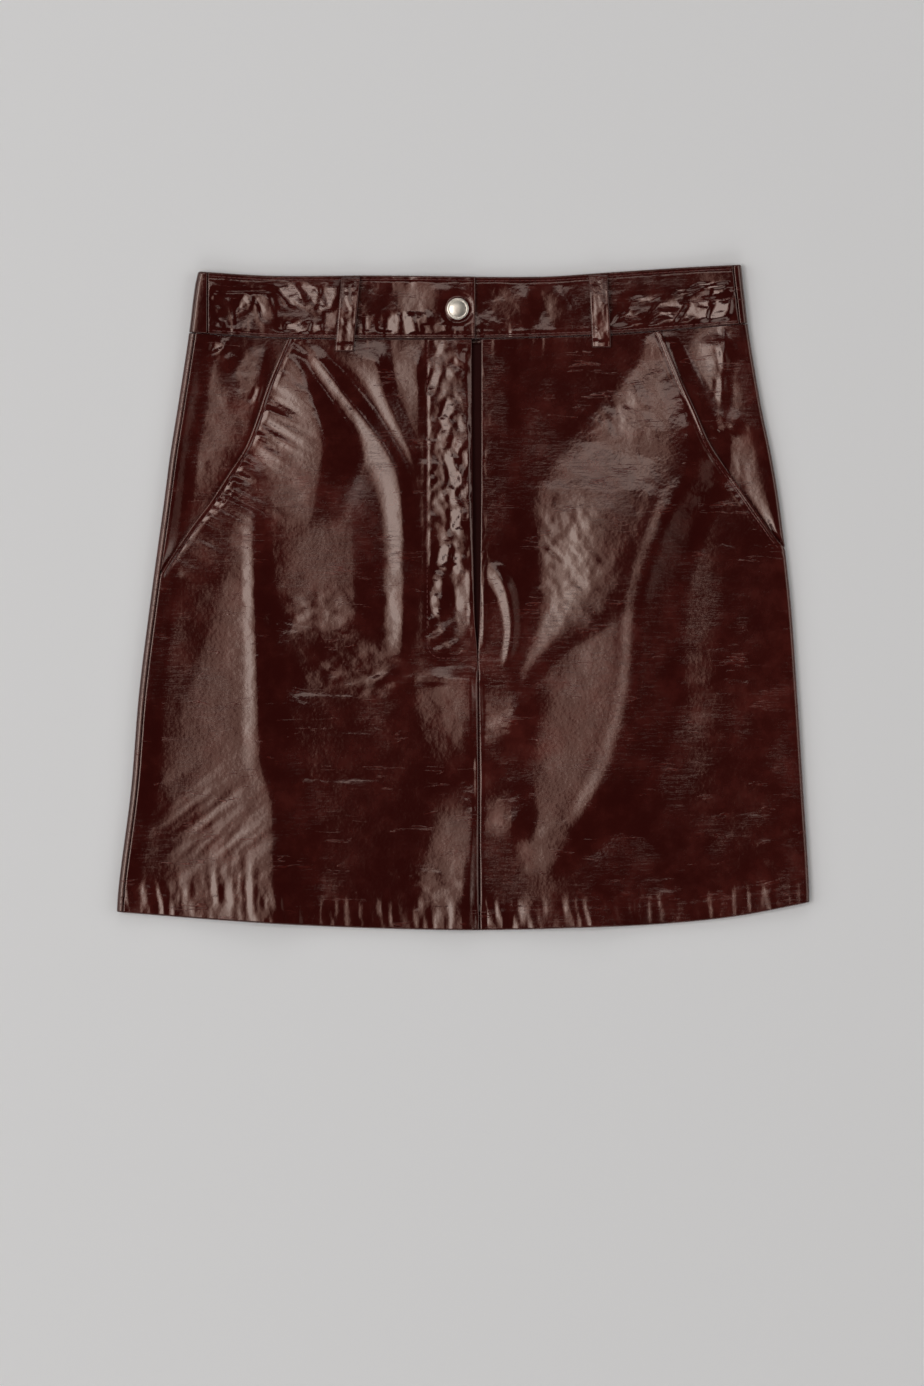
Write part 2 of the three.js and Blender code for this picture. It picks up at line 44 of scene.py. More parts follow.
# Shader expressions
class Wire:
    # one shader socket; the operators add Math nodes
    def __init__(self, tree, socket):
        self.tree = tree
        self.socket = socket

    def make(self, kind, settings=None, inputs=None, output=0):
        node = self.tree.nodes.new(kind)
        for name, value in (settings or {}).items():
            if name == "stops":
                self.setStops(node.color_ramp, value)
            else:
                setattr(node, name, value)
        for key, value in (inputs or {}).items():
            if isinstance(value, Wire):
                self.tree.links.new(value.socket, node.inputs[key])
            else:
                node.inputs[key].default_value = value
        return Wire(self.tree, node.outputs[output])

    def setStops(self, ramp, stops):
        while len(ramp.elements) < len(stops):
            ramp.elements.new(0.5)
        for element, (place, colour) in zip(ramp.elements, stops):
            element.position = place
            element.color = (*colour, 1)

    def math(self, operation, *values, clamp=False):
        settings = {"operation": operation, "use_clamp": clamp}
        return self.make("ShaderNodeMath", settings, dict(enumerate(values)))

    def __add__(self, other):
        return self.math("ADD", self, other)

    def __radd__(self, other):
        return self.math("ADD", other, self)

    def __sub__(self, other):
        return self.math("SUBTRACT", self, other)

    def __rsub__(self, other):
        return self.math("SUBTRACT", other, self)

    def __mul__(self, other):
        return self.math("MULTIPLY", self, other)

    def __rmul__(self, other):
        return self.math("MULTIPLY", other, self)

    def __pow__(self, other):
        return self.math("POWER", self, other)

    def eased(self, low, high):
        settings = {"interpolation_type": "SMOOTHSTEP"}
        return self.make("ShaderNodeMapRange", settings, {0: self, 1: low, 2: high})

    def scaled(self, size, turn=(0, 0, 0)):
        return self.make("ShaderNodeMapping", {"vector_type": "POINT"}, {0: self, 2: turn, 3: size})

    def noise(self, scale, detail=2.0, roughness=0.5, distortion=0.0):
        inputs = {"Vector": self, "Scale": scale, "Detail": detail, "Roughness": roughness}
        return self.make("ShaderNodeTexNoise", None, {**inputs, "Distortion": distortion})

    def cells(self, scale, feature="F1", output=0):
        return self.make("ShaderNodeTexVoronoi", {"feature": feature}, {"Vector": self, "Scale": scale}, output)

    def mixed(self, other, factor, blend="MIX"):
        settings = {"data_type": "RGBA", "blend_type": blend}
        return self.make("ShaderNodeMix", settings, {0: factor, 6: self, 7: other}, 2)


def newMaterial(name, shine):
    material = bpy.data.materials.new(name)
    material.use_nodes = True
    tree = material.node_tree
    shader = tree.nodes["Principled BSDF"]
    for socket, value in shine.items():
        shader.inputs[socket].default_value = value
    place = Wire(tree, tree.nodes.new("ShaderNodeTexCoord").outputs["Object"])

    def feed(socket, wire):
        tree.links.new(wire.socket, shader.inputs[socket])

    def colour(value):
        return place.make("ShaderNodeRGB", None, None) if value is None else (*value, 1)

    return material, place, feed, colour


# Leather: deep burgundy under a gloss film, finely grained and crackled sideways
leatherLook = {
    "deep": (0.034, 0.0035, 0.0027),
    "worn": (0.12, 0.019, 0.014),
    "roughness": (0.09, 0.19),
    "grain": {"size": 450, "high": 0.065},
    "crackle": {"size": 75, "stretch": (0.3, 2.6, 1.0), "high": 0.1},
    "wrinkles": {"size": 120, "high": 0.06},
    "shine": {"IOR": 1.66, "Specular Tint": (1.0, 0.76, 0.66, 1.0), "Coat Weight": 0.15, "Coat Roughness": 0.09},
}


def leatherMaterial(name, crackle=1.0, worn=0.5):
    look = leatherLook
    material, place, feed, colour = newMaterial(name, look["shine"])
    patches = place.noise(11, 3, 0.6).eased(0.45, 0.62)
    mottle = place.noise(60, 4, 0.65).eased(0.3, 0.75)
    grain = place.noise(look["grain"]["size"], 2, 0.6) + 0.6 * place.cells(look["grain"]["size"] * 0.8)
    stretched = place.scaled(look["crackle"]["stretch"])

    def lines(size, width):
        field = stretched.noise(size, 3, 0.6, 0.5)
        return 1 - (field - 0.5).math("ABSOLUTE", field - 0.5).eased(0.0, width)

    long = lines(look["crackle"]["size"], 0.03)
    short = lines(look["crackle"]["size"] * 2.4, 0.05)
    dashes = place.scaled((1.0, 3.0, 1.0)).noise(30, 3, 0.6).eased(0.56, 0.68)
    broad = place.noise(6, 3, 0.6).eased(0.42, 0.68)
    wearing = (dashes * long + 0.45 * mottle * mottle + 0.55 * broad * (0.4 + mottle)) * worn
    base = place.make("ShaderNodeMix", {"data_type": "RGBA"}, {0: wearing, 6: colour(look["deep"]), 7: colour(look["worn"])}, 2)
    feed("Base Color", base)
    low, high = look["roughness"]
    feed("Roughness", low + (high - low) * (0.5 * mottle + 0.5 * patches))
    creased = crackle * look["crackle"]["high"] * (long * dashes + 0.3 * short * patches)
    wrinkled = look["wrinkles"]["high"] * place.noise(look["wrinkles"]["size"], 3, 0.55, 0.4)
    relief = creased + wrinkled + look["grain"]["high"] * grain
    bump = place.make("ShaderNodeBump", None, {"Strength": 1.0, "Distance": 0.001, "Height": relief})
    feed("Normal", bump)
    return material


# Outline and seams of the laid skirt, in millimetres
outline = {
    "left": [(-228, -237.4), (-197, -235.4), (-132, -227.1), (-66, -221.6), (0, -213.4), (65, -204.5),
             (98, -200.2), (131, -194.9), (180, -187.4), (213, -183.2), (226, -180.2)],
    "right": [(-228, 236.7), (-197, 236.6), (-132, 232.6), (-66, 228.5), (0, 223.7), (65, 216.1),
              (98, 210.6), (131, 203.8), (180, 195.6), (213, 191.6), (226, 190.2)],
    "bandTop": [(-181, 222.8), (-130, 219.9), (-60, 220.1), (50, 219.2), (100, 222.2), (150, 225.5), (190, 227.4)],
    "waistSeam": [(-187, 180.8), (-128, 177.3), (-60, 176.6), (7, 176.6), (54, 177.8), (110, 180.2), (195, 187)],
    "hem": [(-236, -215), (-173, -220), (-111, -224), (-50, -226.4), (12, -227.4), (73, -226), (134, -223.3),
            (186, -218), (236, -208.5)],
}

# Seams and cut edges as x for each y
edges = {
    "pocketLeft": [(14.6, -207.4), (27.7, -199.6), (49.6, -185), (65, -173.2), (84.5, -160.4), (105, -147.7),
                   (149, -132), (178, -119.6)],
    "pocketRight": [(20.8, 237), (36, 218), (51.6, 205.9), (70, 192.9), (87, 180.6), (106, 168.4), (128, 158.7),
                    (152, 147.7), (183, 135)],
    "flyEdge": [(-228, 11.2), (-66, 10.5), (-38, 9.9), (-15, 8.1), (67, 6.8), (178, 6)],
    "rightFront": [(-228, 11.5), (-66, 10.8), (-38, 10.2), (-15, 11.1), (67, 12.2), (178, 12.4)],
}

cut = {
    "leather": 1.2,
    "turned": 2.4,
    "seamGap": 0.3,
    "layerGap": 0.6,
    "sideFold": 3.4,
    "sideDroop": 0.4,
    "bandFold": 3.8,
    "sideSeamInset": 4.2,
    "wrapWaist": 5.0,
    "wrapHem": 14.0,
    "pocketEnd": 0.42,
    "hemDepth": 16.0,
    "underlap": 10.0,
    "sunk": 1.7,
    "bandSeamLeft": -174.4,
    "bandSeamInset": 5.6,
    "lapEnd": 8.5,
    "underlapEnd": -16.0,
}


def ease(low, high, value):
    share = np.clip((value - low) / (high - low), 0, 1)
    return share * share * (3 - 2 * share)


def lerp(a, b, share):
    return a + (b - a) * share


def softMax(a, b, rounding=1.2):
    blend = np.maximum(rounding - np.abs(a - b), 0) / rounding
    return np.maximum(a, b) + blend * blend * rounding * 0.25


def through(points):
    # smooth curve through (key, value) pairs, flat past its ends
    keys, values = (np.array(column, float) for column in zip(*sorted(points)))
    first = np.r_[0, np.arange(len(keys) - 1)]
    last = np.r_[np.arange(1, len(keys)), len(keys) - 1]
    slopes = (values[last] - values[first]) / (keys[last] - keys[first])

    def at(key):
        i = np.clip(np.searchsorted(keys, key) - 1, 0, len(keys) - 2)
        span = keys[i + 1] - keys[i]
        t = np.clip((key - keys[i]) / span, 0, 1)
        s = 1 - t
        ends = values[i] * s * s * (1 + 2 * t) + values[i + 1] * t * t * (3 - 2 * t)
        return ends + span * s * t * (slopes[i] * s - slopes[i + 1] * t)

    return at


leftEdge = through(outline["left"])
rightEdge = through(outline["right"])
bandTopY = through(outline["bandTop"])
waistSeamY = through(outline["waistSeam"])
hemY = through(outline["hem"])
pocketLeft = through(edges["pocketLeft"])
pocketRight = through(edges["pocketRight"])
flyEdge = through(edges["flyEdge"])
rightFrontEdge = through(edges["rightFront"])


def lineAcross(line, level):
    return lambda share: line(lerp(leftEdge(level), rightEdge(level), share))


topRow = lineAcross(bandTopY, 224)
seamRow = lineAcross(waistSeamY, 182)
hemRow = lineAcross(hemY, -215)


def skirtRow(down, share):
    return lerp(seamRow(share), hemRow(share), down)


def bandRow(down, share):
    return lerp(topRow(share), seamRow(share) + cut["seamGap"], down)


def girth(y, radius):
    left = leftEdge(y) + radius
    right = rightEdge(y) - radius
    turn = math.pi * radius
    return left, right, turn, right - left, 2 * (right - left) + 2 * turn


def around(way, y, radius):
    # x, outward direction and height of the flat ring: way is plain x over the front
    left, right, turn, flat, whole = girth(y, radius)
    on = np.mod(way - left, whole)
    angleRight = math.pi / 2 - (on - flat) / radius
    angleLeft = -math.pi / 2 - (on - 2 * flat - turn) / radius
    zones = [on <= flat, on <= flat + turn, on <= 2 * flat + turn]
    x = np.select(zones, [left + on, right + radius * np.cos(angleRight), right - (on - flat - turn)],
                  left + radius * np.cos(angleLeft))
    nx = np.select(zones, [0 * on, np.cos(angleRight), 0 * on], np.cos(angleLeft))
    nz = np.select(zones, [0 * on + 1, np.sin(angleRight), 0 * on - 1], np.sin(angleLeft))
    return x, nx, nz, zones[0]


def spread(start, end, y, radius, share, weights):
    # steps across a piece, close together in the side folds
    left, right, turn, flat, whole = girth(y, radius)
    marks = [right, right + turn, left + whole - turn, left + whole]
    stops = [start] + [np.clip(mark, start, end) for mark in marks] + [end]
    lengths = [(b - a) * weight for a, b, weight in zip(stops, stops[1:], weights)]
    rest = share * sum(lengths)
    way = start
    for length, weight in zip(lengths, weights):
        step = np.clip(rest, 0, length)
        way = way + step / weight
        rest = rest - step
    return way


# Noise in plain numbers, the same on each run
def hashed(i, j, seed):
    n = (i * 374761393 + j * 668265263 + seed * 982451653) & 0x7FFFFFFF
    n = ((n ^ (n >> 13)) * 1274126177) & 0x7FFFFFFF
    return ((n ^ (n >> 16)) & 0xFFFF) / 65535.0


def grainNoise(x, y, seed=0):
    # smooth noise from -1 to 1, one bump a unit
    i, j = np.floor(x).astype(np.int64), np.floor(y).astype(np.int64)
    u, v = x - i, y - j
    u, v = u * u * (3 - 2 * u), v * v * (3 - 2 * v)
    low = lerp(hashed(i, j, seed), hashed(i + 1, j, seed), u)
    high = lerp(hashed(i, j + 1, seed), hashed(i + 1, j + 1, seed), u)
    return 2 * lerp(low, high, v) - 1


def layeredNoise(x, y, octaves, seed=0, gain=0.5):
    total, weight = 0, 1
    for step in range(octaves):
        total = total + weight * grainNoise(x * 2**step + 17.3 * step, y * 2**step - 9.1 * step, seed + step)
        weight *= gain
    return total


def crumple(x, y, size, seed=0):
    # facets between sharp creases, as in crushed leather
    best = np.full(np.shape(x), 9.0)
    second = np.full(np.shape(x), 9.0)
    px = x / size + 0.6 * layeredNoise(x / size * 0.7, y / size * 0.7, 2, seed + 11)
    py = y / size + 0.6 * layeredNoise(x / size * 0.7, y / size * 0.7, 2, seed + 23)
    i, j = np.floor(px).astype(np.int64), np.floor(py).astype(np.int64)
    for di in (-1, 0, 1):
        for dj in (-1, 0, 1):
            cx = i + di + hashed(i + di, j + dj, seed)
            cy = j + dj + hashed(i + di, j + dj, seed + 5)
            far = np.hypot(px - cx, py - cy)
            second = np.minimum(second, np.maximum(best, far))
            best = np.minimum(best, far)
    return np.clip(second - best, 0, 1)


# Folds of the front. Each is a crest through stations: place along it, place across it,
# width of the flank before the crest, width of the flank after it, height.
# One that runs down has (y, x, left flank, right flank, height),
# one that runs across has (x, y, lower flank, upper flank, height).
frontFolds = {
    "hipLeft": ("down", [(176, -119, 8, 8, 0), (150, -109, 20, 14, 1.4), (128, -101, 34, 22, 3.0), (108, -95, 44, 26, 4.1),
                         (92, -96, 48, 26, 3.9), (72, -100, 44, 24, 2.2), (46, -106, 40, 20, 0)], 0.3),
    "hipCrease": ("down", [(174, -104, 6, 6, 0), (160, -97, 8, 9, 1.2), (148, -88, 9, 10, 1.7), (137, -80, 10, 11, 1.8),
                           (122, -68, 11, 11, 1.6), (107, -57, 13, 11, 1.5), (94, -49, 16, 11, 1.6), (80, -44, 17, 11, 1.5),
                           (50, -41, 16, 12, 1.55), (20, -41, 15, 12, 1.2), (-10, -41, 13, 10, 1.1), (-30, -42, 10, 8, 0.5),
                           (-50, -44, 8, 8, 0)], 0.4),
    "bellyCrease": ("down", [(182, -62, 34, 12, 0.9), (166, -60, 30, 12, 1.5), (152, -57, 16, 10, 1.2), (137, -53, 9, 8, 0.8),
                             (117, -44, 8, 8, 0.7), (98, -36, 7, 7, 0.5), (78, -32, 5, 5, 0)], 0.6),
    "besideFly": ("down", [(182, -29, 24, 6, 0.5), (166, -30, 24, 6, 1.0), (154, -31, 18, 6, 1.1), (140, -30, 12, 5, 0.8),
                           (125, -30, 8, 4, 0.3), (106, -30, 6, 4, 0)], 0.3),
    "lowerLeft": ("down", [(64, -144, 8, 6, 0), (48, -143, 16, 10, 0.8), (0, -142, 26, 14, 1.3), (-32, -141, 36, 16, 1.7),
                           (-80, -139, 54, 20, 2.3), (-110, -137, 64, 24, 3.0), (-130, -132, 68, 28, 3.5),
                           (-150, -129, 70, 30, 4.0), (-190, -129, 72, 32, 4.2), (-230, -129, 72, 32, 4.3)], 0.1),
    "lowerLeftRim": ("down", [(60, -144, 8, 8, 0), (44, -143, 9, 10, 0.45), (-20, -141, 10, 11, 0.55), (-70, -140, 11, 11, 0.55),
                              (-110, -139, 12, 10, 0.35), (-136, -134, 12, 8, 0)], 1),
    "thighPatch": ("down", [(84, -78, 50, 22, 0), (56, -76, 56, 24, 1.9), (10, -74, 54, 24, 1.9), (-36, -72, 50, 22, 0)], 0.5),
    "underFly": ("down", [(-47, 4, 40, 8, 0), (-61, 5, 42, 9, 2.5), (-82, 5, 36, 10, 2.2), (-118, 4, 22, 8, 0)]),
    "centreHem": ("down", [(-128, 5, 26, 8, 0), (-160, 6, 28, 8, 1.7), (-200, 3, 34, 8, 2.2), (-230, 2, 36, 8, 2.2)]),
    "hipRight": ("down", [(186, 138, 12, 8, 0.6), (172, 141, 20, 10, 1.2), (163, 144, 24, 12, 1.7), (143, 148, 45, 20, 3.0),
                          (129, 150, 58, 26, 3.9), (117, 152, 70, 30, 4.5), (97, 153, 85, 30, 5.1), (80, 149, 90, 30, 5.6),
                          (67, 143, 87, 31, 5.8), (50, 135, 81, 31, 5.8), (20, 124, 71, 32, 5.2), (-10, 118, 65, 33, 4.7),
                          (-40, 116, 63, 34, 4.3), (-70, 114, 64, 34, 4.2), (-100, 107, 58, 34, 3.9),
                          (-130, 95, 48, 30, 3.3), (-154, 80, 38, 26, 2.6), (-176, 66, 26, 18, 1.2), (-192, 56, 16, 14, 0)], 0.65),
    "hipRightRim": ("down", [(84, 150, 10, 11, 0), (60, 140, 10, 11, 0.5), (0, 120, 10, 11, 0.55), (-60, 115, 10, 11, 0.5), (-110, 103, 11, 11, 0.55),
                             (-140, 89, 12, 10, 0.65), (-156, 78, 8, 8, 0)], 1),
    "bulge": ("down", [(106, 82, 30, 50, 0), (86, 84, 34, 60, 0.6), (68, 86, 37, 68, 0.9), (45, 89, 38, 68, 1.2), (16, 87, 33, 58, 1.3),
                       (-2, 79, 24, 42, 1.3), (-20, 69, 16, 26, 1.3), (-36, 57, 11, 14, 1.1), (-50, 47, 8, 10, 0.8),
                       (-62, 42, 5, 5, 0)], 0.8),
    "farRight": ("down", [(62, 176, 14, 14, 0), (30, 174, 20, 20, 0.25), (-70, 172, 22, 20, 0.25), (-180, 168, 16, 16, 0)], 1),
    "centrePatch": ("down", [(-54, 34, 20, 16, 0), (-75, 35, 22, 16, 1.1), (-87, 34, 22, 16, 1.6), (-101, 34, 22, 16, 0)], 0.3),
    "lowerPatch": ("down", [(-122, 34, 20, 16, 0), (-145, 35, 22, 16, 1.2), (-155, 34, 22, 16, 1.6), (-169, 34, 22, 16, 0)], 0.3),
    "hemRight": ("down", [(-150, 84, 60, 30, 0), (-185, 88, 64, 34, 2.0), (-230, 86, 64, 34, 2.4)], 0.8),
    "shieldEdge": ("down", [(24, 22, 7, 7, 0), (13, 26.5, 10, 8, 1.5), (0, 31, 8, 8, 1.4), (-20, 33, 5, 8, 1.2),
                            (-38, 31, 4, 6, 0.9), (-48, 28, 3, 3, 0)], 0.4),
    "shieldInner": ("down", [(14, 14, 3, 4, 0), (0, 14, 3, 4, 0.6), (-24, 14, 3, 4, 0.5), (-36, 13, 3, 3, 0)], 0.5),
    "flyLean": ("down", [(176, 2, 26, 5, 0.4), (150, 2, 26, 5, 1.5), (60, 4, 26, 4, 1.9), (24, 5, 22, 4, 1.2), (-4, 6, 10, 3, 0.5), (-34, 6, 8, 3, 0)], 0.6),
}


foldStrength = 1.3


facingFolds = {
    "leftUpper": ("down", [(180, -167, 12, 8, 0), (168, -166, 14, 10, 0.6), (146, -164, 14, 10, 0.55), (122, -162, 12, 8, 0)], 0.9),
    "leftWide": ("down", [(178, -136, 10, 5, 0), (160, -138, 16, 5, 0.6), (135, -142, 28, 6, 1.0), (105, -150, 32, 6, 1.1),
                          (85, -163, 26, 6, 0.7), (68, -174, 18, 6, 0)], 0.9),
    "rightWide": ("down", [(186, 176, 14, 6, 0.3), (176, 177, 24, 8, 1.4), (160, 177, 30, 8, 1.9), (146, 176, 32, 8, 1.8),
                           (126, 176, 24, 8, 1.0), (112, 178, 14, 8, 0)], 0.5),
    "rightSpot": ("down", [(130, 184, 14, 8, 0), (119, 185, 16, 8, 0.8), (106, 186, 14, 8, 0)], 0.6),
}

# Facets pressed into the leather: middle, reach along x and y, x that its sides lean over for
# each y, rise to the right in degrees, softness of its border
facets = {
    "band": [(-106, 206, 24, 10, -0.4, 3.4, 5), (-148, 198, 16, 10, 0, 2.6, 6), (-42, 187, 20, 6, 0, 2.8, 4),
             (146, 197, 38, 9, 0.5, 3.2, 6), (-112, 184, 16, 4, 0, 2.5, 3),
             (-116, 207, 8, 8, -0.8, 8, 2.4), (-103, 208, 6.5, 8, -0.4, 9.5, 2.4), (-91.5, 206, 5.5, 9, 0.2, 8, 2.2),
             (-135, 197, 5, 8, -0.3, 7, 2), (-113, 184.5, 9, 3.5, 0.3, 8, 1.4), (-100, 184.5, 4, 3.5, 0, 8, 1.4),
             (-149, 201, 4.5, 5, 0.3, 6.5, 2), (-164, 196, 7, 8, -0.2, 5.5, 2.5), (-90, 190, 5, 6, 0.2, 7.5, 2),
             (-31, 204, 18, 10, 0.1, 1.6, 8), (-63.5, 187, 4.5, 6, 0, 10.5, 2), (-48, 187, 4.4, 6.5, 0.1, 7, 2),
             (-37, 187, 5, 7, -0.2, 7, 2), (-19, 184, 8, 3, 0, 6, 1.6),
             (30, 201, 16, 10, 0, 4.4, 8), (62, 199, 11, 11, -0.4, 5.0, 8), (96, 184, 4, 3, 0, 8, 1.2),
             (116, 190, 12, 4, 0.9, 7, 2), (139, 195, 11, 7, 0.6, 8, 2.4), (160, 197, 10, 8, 0.4, 7.5, 2.4),
             (176, 199, 7, 11, 0.15, 9, 1.8), (151, 209, 8, 1.8, 1.5, 9, 1), (168, 213, 11, 1.6, 1.5, 9, 1),
             (124, 204, 8, 1.8, 1.5, 8, 1)],
    "front": [(-95, -14, 30, 10, 0, 2.6, 12), (-80, -56, 38, 12, 0, 2.4, 12), (-12, 168, 9, 7, 0, 4, 3), (-19, 149, 4, 8, 0.3, 8, 1.6), (-10, 128, 4.5, 6, 0.5, 9, 1.4),
              (-2, 119, 4, 6, -0.4, 9, 1.2), (-13, 113, 4, 5, 0.3, 7, 1.2), (-5, 104, 5, 5, 0.6, 8, 1.2),
              (2, 95, 3.5, 6, 0, 9, 1.2), (-9, 92, 4, 5, -0.4, 8, 1.2), (-5, 81, 6, 5, 0, 10, 1.4),
              (2, 73, 4, 5, 0.5, 9, 1.2), (-7, 69, 4, 6, -0.3, 8, 1.2), (-4, 54, 5.5, 7, 0, 9, 1.6),
              (-14, 29, 5, 6, 0.3, 11, 1.8), (-4, 24, 4.5, 6, 0, 10, 1.8), (-18, 0, 5, 15, 0, 8, 2.2),
              (3.5, 2, 2.2, 20, 0, 7, 1.2), (-19, -25, 6, 2.6, 1.4, 9, 1.2), (-11, -32, 7, 2.2, 1.2, 8, 1.2),
              (-167, 62, 2.2, 6, 0.7, 10, 1), (-161, 68, 1.8, 6, 0.7, 10, 1)],
    "facing": [(-168, 171, 5, 4, 0.3, 10, 1.6), (-141, 139, 2.6, 5, 0.4, 11, 1), (176, 177, 3.4, 5, 0.1, 8, 1.2),
               (177, 162, 3, 7, -0.1, 9, 1.2), (175, 143, 3.4, 7, 0.1, 8, 1.2), (179, 117, 8, 4, 0, 5, 3)],
}


def faceted(group, x, y):
    height = 0
    wobble = 1.1 * layeredNoise(x / 9, y / 9, 2, 300)
    for cx, cy, rx, ry, lean, rise, border in facets[group]:
        across, up = x - cx - lean * (y - cy) + wobble, y - cy + 0.7 * wobble
        window = ease(rx + border, rx - border, np.abs(across)) * ease(ry + border, ry - border, np.abs(up))
        height = height + math.tan(math.radians(rise)) * across * window
    return height


# Small crumples: middle, reach along x and y, height, size of the waves along x and y,
# and the turn of those waves in degrees where they run aslant
ruffles = {
    "front": [(-116, 60, 16, 20, 0.16, 16, 4.5), (-98, -10, 32, 14, 0.26, 9, 4), (-80, -48, 38, 18, 0.28, 9, 4),
              (-62, -66, 30, 5, 0.2, 24, 4), (-60, -124, 38, 5, 0.18, 26, 4), (-92, -92, 34, 6, 0.16, 24, 4),
              (-18, -6, 6, 28, 0.5, 6, 8), (-10, 24, 8, 10, 0.7, 8, 9), (-140, -20, 14, 60, 0.16, 6, 4.5), (-172, -160, 36, 30, 0.42, 34, 5.5, 38), (-158, -202, 40, 18, 0.45, 5, 24), (-58, -56, 24, 8, 0.45, 12, 4.5, 15), (-50, 10, 14, 50, 0.2, 8, 5),
              (-80, 116, 18, 30, 0.16, 9, 13), (107, 126, 24, 26, 0.3, 13, 12), (70, 25, 24, 42, 0.4, 9, 8),
              (112, 60, 28, 36, 0.2, 18, 16), (92, -60, 26, 80, 0.16, 22, 26), (166, 66, 18, 6, 0.35, 15, 6),
              (170, -60, 44, 70, 0.18, 26, 5), (206, -168, 30, 30, 0.22, 9, 7), (138, -203, 34, 9, 0.3, 16, 5),
              (28, -76, 14, 18, 0.16, 12, 8), (28, -142, 14, 20, 0.16, 12, 8), (-20, -196, 26, 14, 0.3, 12, 7),
              (-12, -84, 22, 26, 0.2, 13, 12), (60, -180, 40, 26, 0.2, 20, 12), (40, 164, 30, 6, 0.2, 30, 6)],
    "band": [(-172, 204, 7, 12, 0.5, 6, 9), (-146, 202, 9, 9, 0.55, 8, 8), (-104, 205, 22, 12, 0.3, 6, 7),
             (-120, 184, 18, 6, 0.25, 9, 6), (-64, 187, 12, 8, 0.25, 8, 9), (-38, 188, 17, 9, 0.3, 6, 9),
             (22, 186, 26, 5, 0.2, 7, 6), (136, 195, 26, 8, 0.32, 12, 4), (168, 199, 20, 11, 0.35, 11, 4.5),
             (40, 202, 40, 14, 0.15, 20, 12), (110, 210, 22, 8, 0.2, 14, 7), (-60, 206, 24, 12, 0.12, 16, 12)],
    "facing": [(-168, 170, 10, 8, 0.5, 9, 8), (-150, 150, 12, 26, 0.3, 12, 14), (-182, 110, 14, 40, 0.25, 14, 20),
               (178, 168, 8, 26, 0.5, 7, 9), (178, 116, 14, 8, 0.5, 10, 8), (186, 80, 10, 20, 0.3, 9, 14)],
}


def ruffled(group, x, y):
    height = 0
    for number, (cx, cy, rx, ry, high, sizeX, sizeY, *turned) in enumerate(ruffles[group]):
        turn = math.radians(turned[0]) if turned else 0
        along = (x - cx) * math.cos(turn) + (y - cy) * math.sin(turn)
        across = (y - cy) * math.cos(turn) - (x - cx) * math.sin(turn)
        waves = layeredNoise(along / sizeX, across / sizeY, 3, 200 + number)
        height = height + high * waves * np.exp(-np.square((x - cx) / (1.1 * rx)) - np.square((y - cy) / (1.1 * ry)))
    return height


def station(fold, along):
    # crest place, flank widths and height at a place along a fold
    points = fold[1]
    return [through([(point[0], point[i]) for point in points])(along) for i in (1, 2, 3, 4)]


def flank(t, softness):
    # 1 at the rounded crest, steepest beside it, 0 from t = 1 on; soft ones are steepest half way down
    s = np.clip(1 - (np.sqrt(t * t + 0.0025) - 0.05), 0, 1)
    return lerp(s**2.25 * 1.1 / (s + 0.1), s * s * (3 - 2 * s), softness)


def foldHeight(fold, x, y):
    along, across = (y, x) if fold[0] == "down" else (x, y)
    crest, before, after, high = station(fold, along)
    ahead, behind = (station(fold, along + step)[0] for step in (2, -2))
    slope = (ahead - behind) / 4
    off = (across - crest) / np.sqrt(1 + slope * slope)
    softness = fold[2] if len(fold) > 2 else 0.15
    return foldStrength * np.maximum(high, 0) * flank(np.abs(off) / np.where(off < 0, before, after), softness)


bandRest = 2 * cut["turned"] + cut["layerGap"]
lapHeight = 3 * cut["turned"] + cut["layerGap"] + 0.5


def bandSides(x, y):
    left, right, *_ = girth(y, cut["bandFold"])
    inside = np.minimum(x - left, right - x)
    return lerp(2 * cut["bandFold"], bandRest, ease(0, 34, inside))


def bandLeftHeight(x, y):
    return softMax(bandSides(x, y), lerp(bandRest, lapHeight, ease(-56, -14, x)))


shield = {"left": -18, "right": 24, "top": 174, "bottom": -52, "corner": 9, "under": 1.5}
zipSize = {"left": -14, "right": 5, "top": 173, "bottom": -33, "tape": 0.8, "coil": 0.5}
frontRest = 2 * cut["leather"] + cut["layerGap"]
overZip = 3.2 + 0.8 + 0.5 + 0.4 + cut["leather"]
overShield = 1.5 + 3 * cut["leather"]
overFacing = frontRest + cut["leather"] + 0.6


def overPocket(x, y):
    past = np.minimum(x - pocketLeft(y) - cut["underlap"], pocketRight(y) - cut["underlap"] - x)
    return (1 - ease(2, 90, past)) * ease(2.8, 14.8, y)


